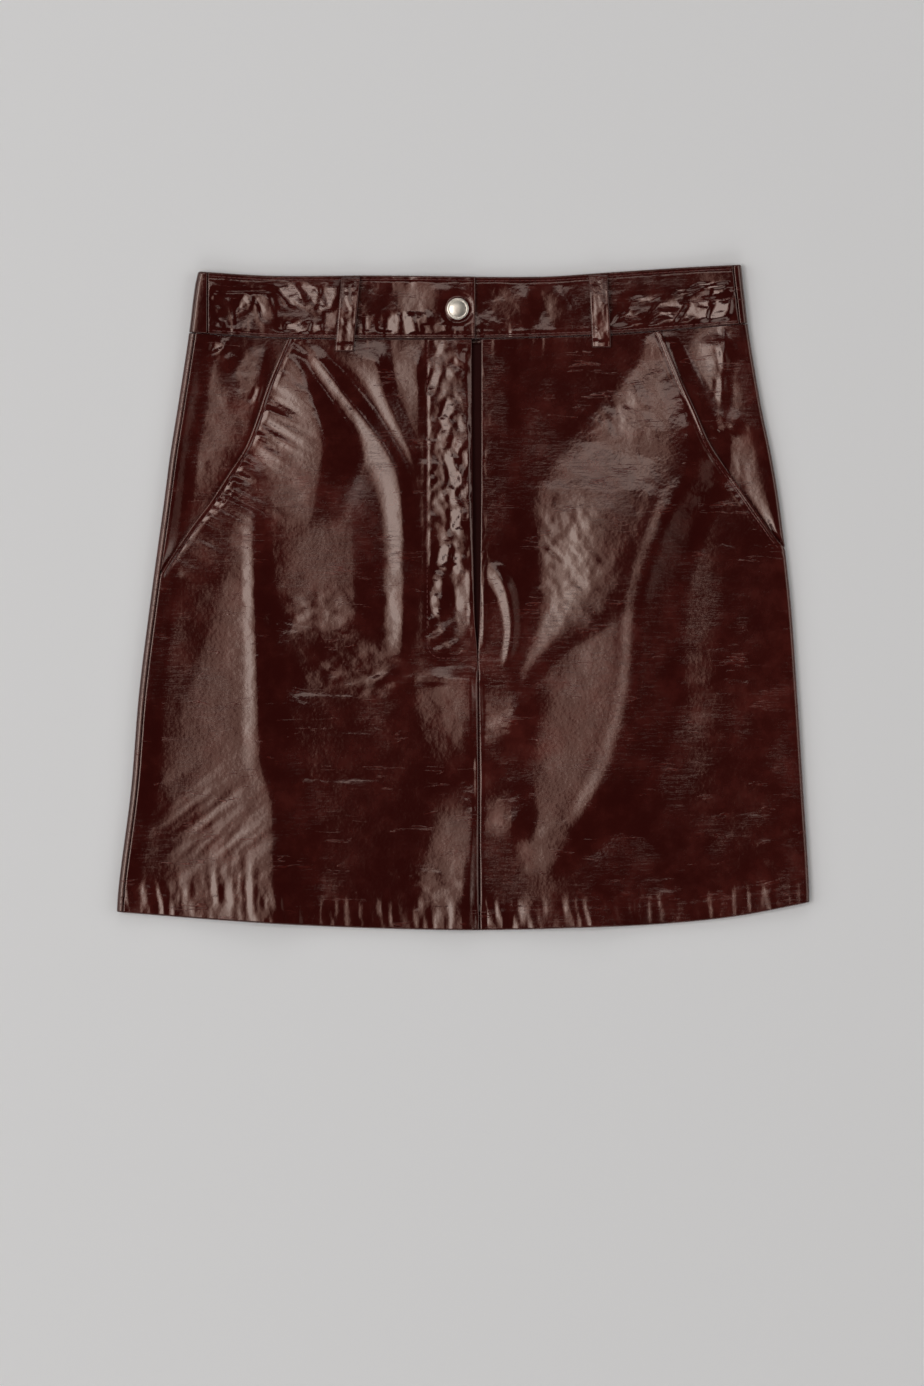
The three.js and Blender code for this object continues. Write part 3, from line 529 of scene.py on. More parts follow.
def frontHeight(onLeft):
    bandHeight = bandLeftHeight if onLeft else bandSides

    def at(x, y):
        left, right, *_ = girth(y, cut["sideFold"])
        share = (x - leftEdge(y)) / (rightEdge(y) - leftEdge(y))
        inside = np.minimum(x - left, right - x)
        belowSeam = seamRow(share) - y
        aboveHem = y - hemRow(share)
        height = frontRest + 0 * x
        rise = np.where(x < 0, 18, lerp(110, 58, ease(30, 90, y)))
        height = softMax(height, lerp(2 * cut["sideFold"], frontRest, ease(0, rise, inside)))
        waist = bandHeight(x, y + belowSeam) - cut["leather"]
        height = softMax(height, lerp(waist, frontRest, ease(0, lerp(58, 34, ease(-10, 20, x)), belowSeam)))
        height = softMax(height, lerp(5.4, frontRest, ease(cut["hemDepth"] + 3, 120, aboveHem)))
        height = softMax(height, lerp(frontRest, overFacing, overPocket(x, y)))
        onShield = ease(-70, -22, x) * (1 - ease(28, 50, x)) * ease(-66, -55, y)
        height = softMax(height, lerp(frontRest, overShield, onShield))
        if onLeft:
            onFly = ease(-100, -20, x) * ease(-50, -35, y)
            height = softMax(height, lerp(frontRest, overZip, onFly))
        calm = ease(0, lerp(20, 10, ease(-10, 20, x)), belowSeam) * ease(0, 14, inside)
        height = height + calm * sum(foldHeight(fold, x, y) for fold in frontFolds.values())
        return lerp(2 * cut["sideFold"], height, ease(0, 5, inside))

    return at


leftFront = frontHeight(True)
rightFront = frontHeight(False)


# Sewing and creases of each piece, as small heights over its form
sewing = {
    "pocketStitch": 3.4,
    "flyLine": -24.5,
    "flyCorner": 10.0,
    "flyBottom": -41.5,
    "bandStitch": 2.6,
    "hemStitch": 15.0,
    "centreStitch": 2.4,
    "stitchLength": 2.6,
    "stitchPitch": 3.5,
    "threadRadius": 0.26,
}


def sewn(distance, depth=0.3, width=0.75):
    # groove under a row of stitches, leather swelling a little on both sides
    swell = np.exp(-np.square((np.abs(distance) - 2.1) / 1.3))
    return 0.35 * depth * swell - depth * np.exp(-np.square(distance / width))


def puckers(along, distance, pitch, reach, high, seed):
    # short creases square to a seam, unevenly spaced and long
    wave = grainNoise(along / pitch, 0.35 * along / pitch + distance / (6 * pitch), seed)
    wave = wave + 0.5 * grainNoise(along / pitch * 2.1, distance / (5 * pitch), seed + 3)
    strength = 0.55 + 0.6 * grainNoise(along / 31, 0 * along, seed + 7)
    reach = reach * (1 + 0.5 * grainNoise(along / 17, 0 * along + 0.5, seed + 9))
    wave = np.sign(wave) * np.abs(wave) ** 0.7
    return high * wave * np.clip(strength, 0, 1.2) * np.exp(-np.square(distance / reach))


def squareDistance(edge, x, y):
    # distance from a seam given as x for each y
    slope = (edge(y + 1) - edge(y - 1)) / 2
    return (x - edge(y)) / np.sqrt(1 + slope * slope)


def flyLineDistance(x, y):
    line, corner, bottom = sewing["flyLine"], sewing["flyCorner"], sewing["flyBottom"]
    cx, cy = line + corner, bottom + corner
    inCorner = np.hypot(x - cx, y - cy) - corner
    return np.where(y > cy, line - x, np.where(x > cx, bottom - y, inCorner))


def undulation(x, y):
    broad = 0.14 * layeredNoise(x / 40, y / 55, 2, 3)
    return broad + 0.07 * layeredNoise(x / 13, y / 14, 2, 5) + 0.025 * layeredNoise(x / 6, y / 5, 2, 8)


# Thin creases across the panels: y, from x, to x, depth
creaseLines = [(-66, -121, -44, 0.24), (-92, -122, -52, 0.22), (-124, -126, -45, 0.34), (-11, -96, -70, 0.12),
               (-38, -158, -118, 0.14), (14, -118, -84, 0.12), (-176, -122, -60, 0.12), (-143, 14, 44, 0.14),
               (-91, 13, 45, 0.2), (-159, 13, 46, 0.22), (-34, 150, 212, 0.14), (36, 160, 214, 0.14),
               (-112, 158, 224, 0.16), (-148, 150, 226, 0.2), (-192, 112, 160, 0.3), (-204, 60, 110, 0.16)]


def creased(x, y):
    height = 0
    for number, (level, start, end, depth) in enumerate(creaseLines):
        off = y - level - 1.1 * grainNoise(x / 11, 0 * x + number, 310) - 0.4 * grainNoise(x / 3, 0 * x + number, 320)
        along = ease(start, start + 12, x) * ease(end, end - 14, x)
        height = height - depth * along * np.exp(-np.square(off / 0.8))
    return height


def patch(x, y, cx, cy, rx, ry):
    return np.exp(-np.square((x - cx) / rx) - np.square((y - cy) / ry))


def seamShares(x, y):
    share = (x - leftEdge(y)) / (rightEdge(y) - leftEdge(y))
    return seamRow(share) - y, y - hemRow(share)


def frontDetail(x, y, way, onLeft):
    belowSeam, aboveHem = seamShares(x, y)
    height = undulation(x, y) + ease(4, 16, belowSeam) * ruffled("front", x, y) + faceted("front", x, y) + creased(x, y)
    height += puckers(x, belowSeam, 4.5, 13, 0.17, 31)
    height += sewn(aboveHem - sewing["hemStitch"], 0.3, 0.9)
    onTurn = ease(25, 13, aboveHem)
    height += 0.64 * onTurn * layeredNoise(x / 3.4, 0.06 * aboveHem + x / 9, 2, 41) * (0.75 + 0.5 * grainNoise(x / 30, 0 * x, 42))
    if onLeft:
        pocket = np.where(y > 14.6, squareDistance(pocketLeft, x, y), 99)
        centre = np.where(y < -50, squareDistance(flyEdge, x, y), 99)
        height += flyDetail(x, y)
    else:
        pocket = np.where(y > 20.8, -squareDistance(pocketRight, x, y), 99)
        centre = np.where(y < -50, squareDistance(rightFrontEdge, x, y), 99)
        height += sewn(y - sewing["flyBottom"]) * ease(33, 29, x)
        height += 0.35 * crumple(x, y * 0.6, 6, 77) * patch(x, y, 17, 60, 7, 110)
    height += sewn(pocket - sewing["pocketStitch"]) + 0.35 * ease(3.2, 1.6, pocket)
    alongPocket = 0.42 * x + 0.91 * y if onLeft else -0.42 * x + 0.91 * y
    height += 0.09 * np.sin(alongPocket * 2 * math.pi / sewing["stitchPitch"]) * ease(4.5, 3.5, pocket)
    beside = ease(1.5, 6, pocket)
    height += beside * puckers(alongPocket, np.maximum(pocket - 3, 0), 3.8, 24 if onLeft else 9, 1.1 if onLeft else 0.45, 51)
    uneven = 0.16 + 0.14 * grainNoise(y / 14, 0 * y, 64)
    height += uneven * np.exp(-np.square((np.abs(centre) - 1.6) / 1.2)) - 0.3 * np.exp(-np.square(centre / 0.6))
    height += puckers(y, np.abs(centre), 3.5, 6, 0.3, 61)
    return height


def flyDetail(x, y):
    off = flyLineDistance(x, y)
    onStrip = ease(1.5, -3, off) * ease(-44, -36, y)
    strength = 0.25 + 0.75 * ease(20, 44, y)
    height = onStrip * strength * (0.4 * crumple(x, y, 11, 71) ** 1.3 + 0.15 * crumple(x, y, 5, 72))
    height += onStrip * 0.32 * layeredNoise(x / 5.5, y / 5, 2, 74)
    height -= 1.0 * patch(x, y, -6, -4, 5, 24)
    height += puckers(y, np.abs(off), 4, 5, 0.3, 73) * ease(-46, -40, y)
    return height + sewn(off, 0.22, 0.6) * ease(-60, -45, y)


def bandDetail(x, y, way):
    share = (x - leftEdge(y)) / (rightEdge(y) - leftEdge(y))
    fromTop, fromSeam = topRow(share) - y, y - seamRow(share)
    inside = ease(3.5, 9, fromTop) * ease(3, 8, fromSeam)
    crushed = 0.2 * crumple(x * 0.8, y, 23, 81) ** 1.5 + ruffled("band", x, y)
    height = inside * crushed + 0.15 * layeredNoise(x / 26, y / 14, 2, 83)
    height -= 0.6 * np.exp(-np.square((y - 209.6) / 1.3)) * ease(-174, -168, x) * ease(-122, -132, x)
    height += ease(2.5, 8, fromTop) * ease(2.5, 6, fromSeam) * faceted("band", x, y)
    height += puckers(x, fromSeam, 5, 9, 0.4, 84) + puckers(x, fromTop, 6, 7, 0.25, 85)
    height += sewn(fromTop - sewing["bandStitch"], 0.3) + sewn(fromSeam - sewing["bandStitch"], 0.26)
    fromSnap = np.hypot(x - snap["x"], y - snap["y"])
    height -= 0.7 * np.exp(-np.square((fromSnap - 9) / 2.2))
    return np.where(fromSnap < 9, np.minimum(height, -0.2), height)


snap = {"x": -3.6, "y": 197.1, "radius": 7.5, "rise": 2.3}


def seamLeft(y):
    return leftEdge(y) + cut["sideSeamInset"]


def seamRight(y):
    left, right, turn, *_ = girth(y, cut["sideFold"])
    return right + turn + lerp(cut["wrapWaist"], cut["wrapHem"], np.clip((180 - y) / 400, 0, 1))


def skirtLeather(down):
    hemStart = 1 - cut["hemDepth"] / 404
    return lerp(cut["leather"], cut["turned"], ease(hemStart, hemStart + 0.006, down))


def closedShell(name, outer, inner):
    # wall between two grids of points, rows by columns
    rows, columns = outer.shape[:2]
    points = np.concatenate([outer.reshape(-1, 3), inner.reshape(-1, 3)]) * mm
    grid = np.arange(rows * columns).reshape(rows, columns)
    far = rows * columns
    a, b, c, d = grid[:-1, :-1], grid[:-1, 1:], grid[1:, :-1], grid[1:, 1:]
    top = np.stack([a, c, d, b], -1).reshape(-1, 4)
    under = np.stack([a, b, d, c], -1).reshape(-1, 4) + far
    loops = [(grid[:-1, 0], grid[1:, 0]), (grid[-1, :-1], grid[-1, 1:]), (grid[1:, -1], grid[:-1, -1]), (grid[0, 1:], grid[0, :-1])]
    walls = [np.stack([v, u, u + far, v + far], -1) for u, v in loops]
    faces = np.concatenate([top, under, *walls])
    return meshPiece(name, points, faces)


def meshPiece(name, points, faces, smooth=True):
    mesh = bpy.data.meshes.new(name)
    mesh.from_pydata(points.tolist(), [], faces.tolist())
    mesh.polygons.foreach_set("use_smooth", [smooth] * len(mesh.polygons))
    mesh.update()
    piece = bpy.data.objects.new(name, mesh)
    bpy.context.scene.collection.objects.link(piece)
    return piece


def finePlaces(count, length, near=(0.25, 0.6, 1.1)):
    # even shares of a length with a few more near both ends, for a rounded edge
    inner = np.linspace(0, 1, count + 1)
    close = np.array(near) / length
    inner = inner[(inner > close[-1] * 1.3) & (inner < 1 - close[-1] * 1.3)]
    return np.concatenate([[0], close, inner, 1 - close[::-1], [1]])


def roundedEdge(distance, radius):
    inside = np.clip(radius - distance, 0, radius)
    return radius - np.sqrt(radius * radius - inside * inside)


def shellPiece(name, spec):
    # spec: rows (shares down), columns (shares across), row, radius, start, end, height, thick, sink
    down, share = np.meshgrid(spec["rows"], spec["columns"], indexing="ij")
    radius, row = spec["radius"], spec["row"]
    weights = spec.get("weights", (1, 3, 0.6, 3, 1))
    y = row(down, 0.5 + 0 * down)
    for _ in range(5):
        way = spread(spec["start"](y), spec["end"](y), y, radius, share, weights)
        x, nx, nz, onFront = around(way, y, radius)
        y = row(down, (x - leftEdge(y)) / (rightEdge(y) - leftEdge(y)))
    left, right, *_ = girth(y, radius)
    most = spec.get("droop", cut["sideDroop"])
    droop = most * (1 - np.clip(np.minimum(x - left, right - x) / 10, 0, 1)) ** 2
    z = np.where(onFront, spec["height"](x, y) - droop, radius + (radius - np.maximum(nz, 0) * most) * nz)
    z = np.where(nz == -1, 0, z)
    fromEdge = {
        "start": way - spec["start"](y),
        "end": spec["end"](y) - way,
        "top": down * spec["length"],
        "bottom": (1 - down) * spec["length"],
    }
    rounds = {"start": 0.6, "end": 0.6, "top": 0.3, "bottom": 1.0, **spec.get("rounds", {})}
    edge = sum(roundedEdge(fromEdge[side], size) for side, size in rounds.items() if size)
    detail = spec.get("detail", lambda *_: 0)(x, y, way)
    sink = spec.get("sink", lambda *_: 0)(way, y)
    outside = sink + np.minimum(edge, spec["thick"](down) * 0.6) - detail * np.where(onFront, 1, spec.get("sideDetail", 0))
    inside = sink + spec["thick"](down) - 0.6 * detail * np.where(onFront, 1, 0)

    def layer(depth):
        return np.stack([x - depth * nx, y, z - depth * nz], -1)

    piece = closedShell(name, layer(outside), layer(inside))
    print("made", name, len(piece.data.polygons), "faces")
    return piece


skirtLength = 404
frontStep = 1.6
nearEdge = (0.25, 0.6, 1.1, 1.7, 2.3, 2.8, 3.2, 3.6, 4.0, 4.5, 5.2, 6.2)


def frontSpec(onLeft):
    columnCount = round((219 if onLeft else 250) / frontStep)
    return {
        "rows": finePlaces(round(skirtLength / frontStep), skirtLength),
        "columns": finePlaces(columnCount, columnCount * frontStep, nearEdge),
        "row": skirtRow,
        "length": skirtLength,
        "radius": cut["sideFold"],
        "thick": skirtLeather,
    }


def cutLeft(y):
    return np.where(y > 14.6, pocketLeft(y), -999)


def cutRight(y):
    return np.where(y > 20.8, pocketRight(y), 999)


def halfGap():
    return cut["seamGap"] / 2


leather = leatherMaterial("burgundyPatentLeather")
leatherBand = leatherMaterial("burgundyBandLeather", 0.8)


def dress(piece, material, slot, *nodes):
    piece.data.materials.append(material)
    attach(piece, "root")
    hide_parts(*nodes)
    return piece


def buildFronts():
    left = shellPiece("frontLeft", {
        **frontSpec(True),
        "start": lambda y: np.maximum(seamLeft(y) + halfGap(), cutLeft(y)),
        "end": flyEdge,
        "height": leftFront,
        "detail": lambda x, y, way: frontDetail(x, y, way, True),
        "rounds": {"start": 0.8, "end": 0.8},
    })
    right = shellPiece("frontRight", {
        **frontSpec(False),
        "start": rightFrontEdge,
        "end": lambda y: np.minimum(seamRight(y) - halfGap(), cutRight(y)),
        "height": rightFront,
        "detail": lambda x, y, way: frontDetail(x, y, way, False),
        "rounds": {"start": 0.8, "end": 0.8},
    })
    dress(left, leather, "leather", "front_left_panel")
    dress(right, leather, "leather", "front_right_panel")
    return left, right


def buildBack():
    back = shellPiece("back", {
        **frontSpec(True),
        "rows": finePlaces(110, skirtLength),
        "columns": finePlaces(130, 460),
        "start": lambda y: seamRight(y) + halfGap(),
        "end": lambda y: seamLeft(y) - halfGap() + girth(y, cut["sideFold"])[4],
        "height": leftFront,
        "weights": (1, 6, 0.6, 6, 1),
    })
    return dress(back, leather, "leather", "back_panel")


def facingDetail(x, y, way):
    height = undulation(x, y) + ruffled("facing", x, y) + faceted("facing", x, y)
    return height + ease(0, 14, seamShares(x, y)[0]) * sum(foldHeight(fold, x, y) for fold in facingFolds.values())


def buildFacings():
    spec = {**frontSpec(True), "detail": facingDetail, "rows": finePlaces(110, 166) * 0.41, "length": 166, "rounds": {"top": 0}}
    left = shellPiece("pocketFacingLeft", {
        **spec,
        "columns": finePlaces(60, 90),
        "start": lambda y: seamLeft(y) + halfGap(),
        "end": lambda y: pocketLeft(y) + cut["underlap"],
        "height": leftFront,
        "sink": lambda way, y: cut["sunk"] * ease(seamLeft(y), np.minimum(seamLeft(y) + 16, pocketLeft(y) - 0.4), way),
    })
    flush = lambda y: np.maximum(girth(y, cut["sideFold"])[1] - 1, pocketRight(y) + 3.5)
    right = shellPiece("pocketFacingRight", {
        **spec,
        "columns": finePlaces(70, 90),
        "start": lambda y: pocketRight(y) - cut["underlap"],
        "end": lambda y: seamRight(y) - halfGap(),
        "height": rightFront,
        "sink": lambda way, y: cut["sunk"] * (1 - ease(np.maximum(pocketRight(y) + 0.4, flush(y) - 36), flush(y), way)),
    })
    dress(left, leather, "leather", "pocket_facing_left")
    dress(right, leather, "leather", "pocket_facing_right")
    return left, right


def bandSeamRight(y):
    return rightEdge(y) - cut["bandSeamInset"]


def buildBand():
    spec = {
        "rows": finePlaces(54, 44, (0.3, 0.7, 1.2, 1.8, 2.4, 3.0, 3.6)),
        "row": bandRow,
        "length": 44,
        "radius": cut["bandFold"],
        "thick": lambda down: cut["turned"] + 0 * down,
        "droop": 0.1,
        "rounds": {"top": 1.1, "bottom": 0.9, "end": 1.1},
    }
    left = shellPiece("bandLeft", {
        **spec,
        "columns": finePlaces(230, 183),
        "start": lambda y: cut["bandSeamLeft"] + halfGap() + 0 * y,
        "end": lambda y: cut["lapEnd"] + 0 * y,
        "height": bandLeftHeight,
        "detail": bandDetail,
    })
    right = shellPiece("bandRight", {
        **spec,
        "columns": finePlaces(250, 203),
        "start": lambda y: cut["underlapEnd"] + 0 * y,
        "end": lambda y: bandSeamRight(y) - halfGap(),
        "height": bandSides,
        "detail": bandDetail,
    })
    back = shellPiece("bandBack", {
        **spec,
        "columns": finePlaces(120, 400),
        "start": lambda y: bandSeamRight(y) + halfGap(),
        "end": lambda y: cut["bandSeamLeft"] - halfGap() + girth(y, cut["bandFold"])[4],
        "height": bandSides,
        "weights": (1, 6, 0.6, 6, 1),
    })
    dress(left, leatherBand, "leather", "waistband_front_left")
    dress(right, leatherBand, "leather", "waistband_front_right")
    dress(back, leatherBand, "leather", "waistband_back")
    return left, right, back


beltLoops = {
    "width": 12.8, "thick": 2.0, "inset": 1.6, "reach": 8.5, "bow": 1.8, "lift": 0.5, "drop": 6,
    "left": {"top": -76.6, "bottom": -81.1, "lean": 5.0}, "right": {"top": 92.4, "bottom": 94.7, "lean": 6.5},
}


def buildLoop(side):
    loop = beltLoops
    topX, bottomX = loop[side]["top"], loop[side]["bottom"]
    bandHeight, skirtHeight = (bandLeftHeight, leftFront) if side == "left" else (bandSides, rightFront)
    top = bandTopY(topX) - loop["inset"]
    seam = waistSeamY(bottomX)
    bottom = seam - loop["reach"]
    length = top - bottom
    down, share = np.meshgrid(finePlaces(60, length), finePlaces(16, loop["width"]), indexing="ij")
    y = lerp(top, bottom, down)
    x = lerp(topX, bottomX, down) + (share - 0.5) * loop["width"]
    bow = loop["bow"] * np.sin(math.pi * np.clip((top - y) / (top - seam), 0, 1))
    onBand = bandHeight(x, np.maximum(y, seam)) + bow
    z = lerp(skirtHeight(x, np.minimum(y, seam)), onBand, ease(seam - loop["drop"], seam - 1, y)) + loop["lift"]
    across = (share - 0.5) * loop["width"]
    half = loop["width"] / 2
    fromEnds = [across + half, half - across, down * length, (1 - down) * length]
    edge = sum(roundedEdge(distance, 0.85) for distance in fromEnds)
    relief = sewn(np.abs(across) - 4.2, 0.07, 0.6) + 0.25 * crumple(x, y, 5, 91 + len(side)) * ease(5.5, 2.5, np.abs(across))
    relief += 0.2 * layeredNoise(x / 5, y / 8, 2, 93) + math.tan(math.radians(loop[side]["lean"])) * across
    outer = np.stack([x, y, z + loop["thick"] - edge + relief], -1)
    inner = np.stack([x, y, z + np.minimum(edge, 0.8)], -1)
    piece = closedShell("beltLoop" + side.capitalize(), outer, inner)
    print("made", piece.name)
    return dress(piece, leatherBand, "leather", "belt_loop_" + side)


def buildShield():
    # flat facing of the fly, rounded at its lower left corner
    y = np.linspace(shield["top"], shield["bottom"], 120)
    below = np.clip(shield["bottom"] + shield["corner"] - y, 0, shield["corner"])
    cornerIn = shield["corner"] - np.sqrt(shield["corner"] ** 2 - below**2)
    share = finePlaces(24, 42)
    x = lerp((shield["left"] + cornerIn)[:, None], shield["right"], share[None, :])
    y = y[:, None] + 0 * x
    edge = roundedEdge((share * 42)[None, :] + 0 * x, 0.5) + roundedEdge(((1 - share) * 42)[None, :] + 0 * x, 0.5)
    relief = 0.12 * layeredNoise(x / 9, y / 14, 2, 95)
    outer = np.stack([x, y, shield["under"] + cut["leather"] - edge * 0.9 + relief], -1)
    inner = np.stack([x, y, shield["under"] + edge * 0.9 + 0 * x], -1)
    # the shield's leather is darker and duller than the outer leather: its darker colour is painted shade for the
    # narrow slit beside the fly
    slitShadeLeather = plainMaterial("shieldLeather", (0.026, 0.0034, 0.0028), 0.6, glint=0.08)
    return dress(closedShell("flyShield", outer, inner), slitShadeLeather, "leather", "fly_shield")


# One tooth or stitch, repeated along a line
def capsules(starts, ends, radius, flat=0.75, sides=7):
    # joined round-ended rods from start to end points, a little flattened
    rings = [(0, 0), (0.06, 0.62), (0.18, 0.95), (0.5, 1), (0.82, 0.95), (0.94, 0.62), (1, 0)]
    points, faces = [], []
    direction = ends - starts
    length = np.linalg.norm(direction, axis=1, keepdims=True)
    along = direction / length
    sideways = np.cross([0, 0, 1], along)
    sideways /= np.linalg.norm(sideways, axis=1, keepdims=True)
    upward = np.cross(along, sideways)
    angles = np.arange(sides) * 2 * math.pi / sides
    for place, size in rings:
        for angle in angles:
            ring = math.cos(angle) * sideways + flat * math.sin(angle) * upward
            points.append(starts + direction * place + radius * size * ring)
    points = np.stack(points, 1).reshape(-1, 3)
    count = len(rings) * sides
    for i in range(len(rings) - 1):
        for j in range(sides):
            k = (j + 1) % sides
            faces.append((i * sides + j, i * sides + k, (i + 1) * sides + k, (i + 1) * sides + j))
    faces = np.array(faces)[None] + count * np.arange(len(starts))[:, None, None]
    return points, faces.reshape(-1, 4)


def stitchPoints(path, pitch, length, seed):
    # start and end places of the stitches along a path of x, y points
    path = np.array(path, float)
    steps = np.r_[0, np.cumsum(np.hypot(*np.diff(path, axis=0).T))]
    starts = np.arange(0.5, steps[-1] - length, pitch)
    starts = starts + 0.12 * grainNoise(starts / 2.7, 0 * starts, seed)

    def at(where):
        return np.stack([np.interp(where, steps, path[:, 0]), np.interp(where, steps, path[:, 1])], -1)

    return at(starts), at(starts + length)


def buildStitches(name, rows, surface):
    starts, ends = [], []
    for number, path in enumerate(rows):
        for points, store in zip(stitchPoints(path, sewing["stitchPitch"], sewing["stitchLength"], number), (starts, ends)):
            store.append(np.column_stack([points, surface(points[:, 0], points[:, 1]) + 0.08]))
    points, faces = capsules(np.concatenate(starts), np.concatenate(ends), sewing["threadRadius"])
    piece = meshPiece(name, points * mm, faces)
    print("sewn", name, sum(len(part) for part in starts), "stitches")
    piece.data.materials.append(thread)
    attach(piece, "root")
    return piece


def pathBeside(edge, distance, top, bottom):
    y = np.linspace(top, bottom, 60)
    slope = (edge(y + 1) - edge(y - 1)) / 2
    size = np.sqrt(1 + slope * slope)
    return np.column_stack([edge(y) + distance / size, y - distance * slope / size])


def acrossRow(row, offset, startX, endX, level):
    x = np.linspace(startX, endX, 80)
    share = (x - leftEdge(level)) / (rightEdge(level) - leftEdge(level))
    return np.column_stack([x, row(share) + offset])


def buildSewing():
    line, corner, bottom = sewing["flyLine"], sewing["flyCorner"], sewing["flyBottom"]
    turn = np.linspace(math.pi, 1.5 * math.pi, 12)
    bend = np.column_stack([line + corner + corner * np.cos(turn), bottom + corner + corner * np.sin(turn)])
    flyPath = np.concatenate([[(line, 174)], bend, [(8.6, bottom)]])
    leftRows = [pathBeside(pocketLeft, sewing["pocketStitch"], 176, 17), flyPath]
    rightRows = [pathBeside(pocketRight, -sewing["pocketStitch"], 180, 34), [(12, bottom), (29, bottom)]]
    buildStitches("stitchesLeft", leftRows, lambda x, y: leftFront(x, y) + frontDetail(x, y, x, True))
    buildStitches("stitchesRight", rightRows, lambda x, y: rightFront(x, y) + frontDetail(x, y, x, False))
    offset = sewing["bandStitch"]
    bandLeftRows = [acrossRow(topRow, -offset, -172, 6, 224), acrossRow(seamRow, offset + 0.2, -172, 6, 182),
                    [(6, 216), (6, 180.5)]]
    bandRightRows = [acrossRow(topRow, -offset, 11, 184, 224), acrossRow(seamRow, offset + 0.2, 11, 187, 182)]
    buildStitches("stitchesBandLeft", bandLeftRows, lambda x, y: bandLeftHeight(x, y) + bandDetail(x, y, x))
    buildStitches("stitchesBandRight", bandRightRows, lambda x, y: bandSides(x, y) + bandDetail(x, y, x))


def plainMaterial(name, colour, roughness, metallic=0.0, glint=0.5):
    material, place, feed, _ = newMaterial(name, {"Metallic": metallic, "Base Color": (*colour, 1), "Specular IOR Level": glint})
    feed("Roughness", roughness + 0.06 * place.noise(300, 2, 0.5))
    bump = place.make("ShaderNodeBump", None, {"Strength": 0.25, "Distance": 0.0002, "Height": place.noise(700, 2)})
    feed("Normal", bump)
    return material


def buildZip():
    # woven tape with a coil of teeth along its middle
    left, right, top, bottom, tape = (zipSize[key] for key in ("left", "right", "top", "bottom", "tape"))
    under = 3.2
    down, share = np.meshgrid(np.linspace(0, 1, 140), finePlaces(14, right - left), indexing="ij")
    x, y = lerp(left, right, share), lerp(top, bottom, down)
    edge = roundedEdge(x - left, 0.35) + roundedEdge(right - x, 0.35)
    outer = np.stack([x, y, under + tape - edge + 0.05 * np.sin(y * 4)], -1)
    inner = np.stack([x, y, under + edge], -1)
    piece = closedShell("zipTape", outer, inner)
    piece.data.materials.append(plainMaterial("wovenTape", (0.012, 0.004, 0.0035), 0.75, glint=0.1))
    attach(piece, "root")
    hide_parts("fly_zip")
    places = np.arange(bottom + 4, top - 2, 1.6)
    middle = (left + right) / 2
    starts = np.column_stack([middle - 2.6 + 0 * places, places, under + tape + 0.15 + 0 * places])
    ends = np.column_stack([middle + 2.6 + 0 * places, places + 0.5, under + tape + 0.15 + 0 * places])
    points, faces = capsules(starts, ends, 0.55, 0.7)
    coil = meshPiece("zipCoil", points * mm, faces)
    coil.data.materials.append(plainMaterial("zipTeeth", (0.03, 0.008, 0.007), 0.4))
    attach(coil, "root")
    return piece


def buildSnap():
    # spun cap: rolled rim, shallow groove, low dome
    profile = [(0, 0), (6.6, 0), (7.2, 0.12), (7.5, 0.45), (7.5, 0.95), (7.32, 1.3), (6.95, 1.52), (6.5, 1.6),
               (6.1, 1.55), (5.8, 1.5), (5.5, 1.56), (5.0, 1.74), (4.2, 1.95), (3.2, 2.12), (2.1, 2.24), (1.0, 2.29), (0, 2.3)]
    sides = 72
    angles = np.arange(sides) * 2 * math.pi / sides
    base = bandLeftHeight(np.array(snap["x"]), np.array(snap["y"])) + 0.3
    points = [(snap["x"] + r * math.cos(t), snap["y"] + r * math.sin(t), base + h) for r, h in profile for t in angles]
    faces = [(i * sides + j, i * sides + (j + 1) % sides, (i + 1) * sides + (j + 1) % sides, (i + 1) * sides + j)
             for i in range(len(profile) - 1) for j in range(sides)]
    piece = meshPiece("snapCap", np.array(points) * mm, np.array(faces))
    print("made snapCap")
    return dress(piece, paleMetal, "snap_metal", "snap_button")


thread = plainMaterial("burgundyThread", (0.12, 0.022, 0.017), 0.5)
paleMetal = plainMaterial("paleGoldMetal", (0.86, 0.8, 0.7), 0.34, 1.0)
left, right = buildFronts()
back = buildBack()
facings = buildFacings()
bands = buildBand()
loops = [buildLoop("left"), buildLoop("right")]
flyShield = buildShield()
zipTape = buildZip()
snapCap = buildSnap()
buildSewing()

# Camera and light
view = {"centre": (-0.0007, -0.0653), "high": 6.0, "frameHigh": 0.948}


def addCamera():
    camera = bpy.data.objects.new("camera", bpy.data.cameras.new("camera"))
    camera.location = (*view["centre"], view["high"])
    camera.data.sensor_fit = "VERTICAL"
    camera.data.sensor_height = 36
    camera.data.lens = 36 * view["high"] / view["frameHigh"]
    camera.data.clip_end = 50
    bpy.context.scene.collection.objects.link(camera)
    bpy.context.scene.camera = camera
    return camera


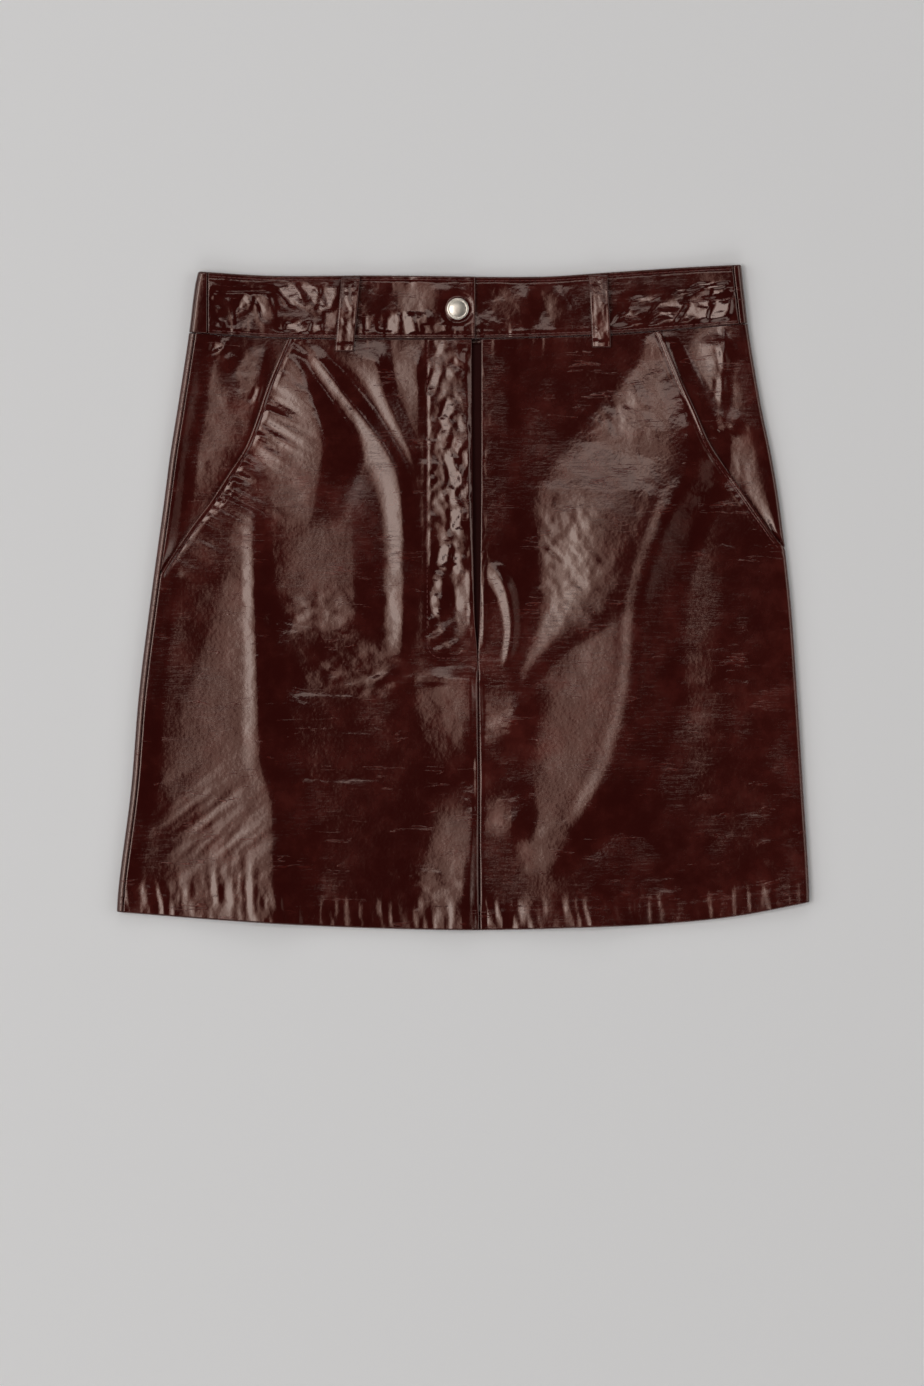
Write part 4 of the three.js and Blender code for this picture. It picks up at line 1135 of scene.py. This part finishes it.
lamps = [
    {"name": "keyFaint", "lean": (-6.8, 0), "far": 5, "size": (0.25, 2.6), "radiance": 0.42, "colour": (1, 0.72, 0.62)},
    {"name": "keyDim", "lean": (-11, 0), "far": 5, "size": (0.48, 2.6), "radiance": 1.1, "colour": (1, 0.78, 0.7)},
    {"name": "keyMiddle", "lean": (-17, 0), "far": 5, "size": (0.53, 2.6), "radiance": 2.3, "colour": (1, 0.9, 0.86)},
    {"name": "keyBright", "lean": (-30, 0), "far": 5, "size": (1.76, 2.6), "radiance": 4.0},
    {"name": "upper", "lean": (-2, 15), "far": 5, "size": (1.6, 0.9), "radiance": 1.5},
    {"name": "right", "lean": (40, 0), "far": 5, "size": (1.1, 2.6), "radiance": 0.3, "colour": (1, 0.8, 0.72)},
    {"name": "lowLeft", "lean": (-60, 5), "far": 5, "size": (2.6, 5.0), "radiance": 1.45},
    {"name": "lowRight", "lean": (60, 5), "far": 5, "size": (2.6, 5.0), "radiance": 1.3},
    {"name": "lowTop", "lean": (0, 60), "far": 5, "size": (5.0, 2.6), "radiance": 1.0},
    {"name": "lowBottom", "lean": (0, -60), "far": 5, "size": (5.0, 2.6), "radiance": 1.3},
]


def addLamp(lamp):
    data = bpy.data.lights.new(lamp["name"], "AREA")
    data.shape = "RECTANGLE"
    data.size, data.size_y = lamp["size"]
    data.color = lamp.get("colour", (1, 1, 1))
    data.energy = lamp["radiance"] * math.pi * data.size * data.size_y
    light = bpy.data.objects.new(lamp["name"], data)
    across, up = (math.tan(math.radians(angle)) for angle in lamp["lean"])
    direction = Vector((across, up, 1)).normalized()
    side = Vector((0, 1, 0)).cross(direction).normalized()
    light.matrix_world = Matrix((side, direction.cross(side), direction)).transposed().to_4x4()
    light.location = direction * lamp["far"]
    bpy.context.scene.collection.objects.link(light)


def addFloor():
    size = 4.0
    floor = meshPiece("floor", np.array([(-size, -size, 0), (size, -size, 0), (size, size, 0), (-size, size, 0)]) - [0, 0, 0.0002], np.array([[0, 1, 2, 3]]), False)
    material = bpy.data.materials.new("paleFloor")
    material.use_nodes = True
    shader = material.node_tree.nodes["Principled BSDF"]
    shader.inputs["Base Color"].default_value = (0.9, 0.9, 0.9, 1)
    shader.inputs["Roughness"].default_value = 0.9
    floor.data.materials.append(material)


camera = addCamera()
for lamp in lamps:
    addLamp(lamp)
addFloor()

world = bpy.data.worlds.new("studio")
world.use_nodes = True
world.node_tree.nodes["Background"].inputs["Color"].default_value = (0.012, 0.012, 0.012, 1)
bpy.context.scene.world = world
bpy.context.scene.view_settings.view_transform = "Standard"
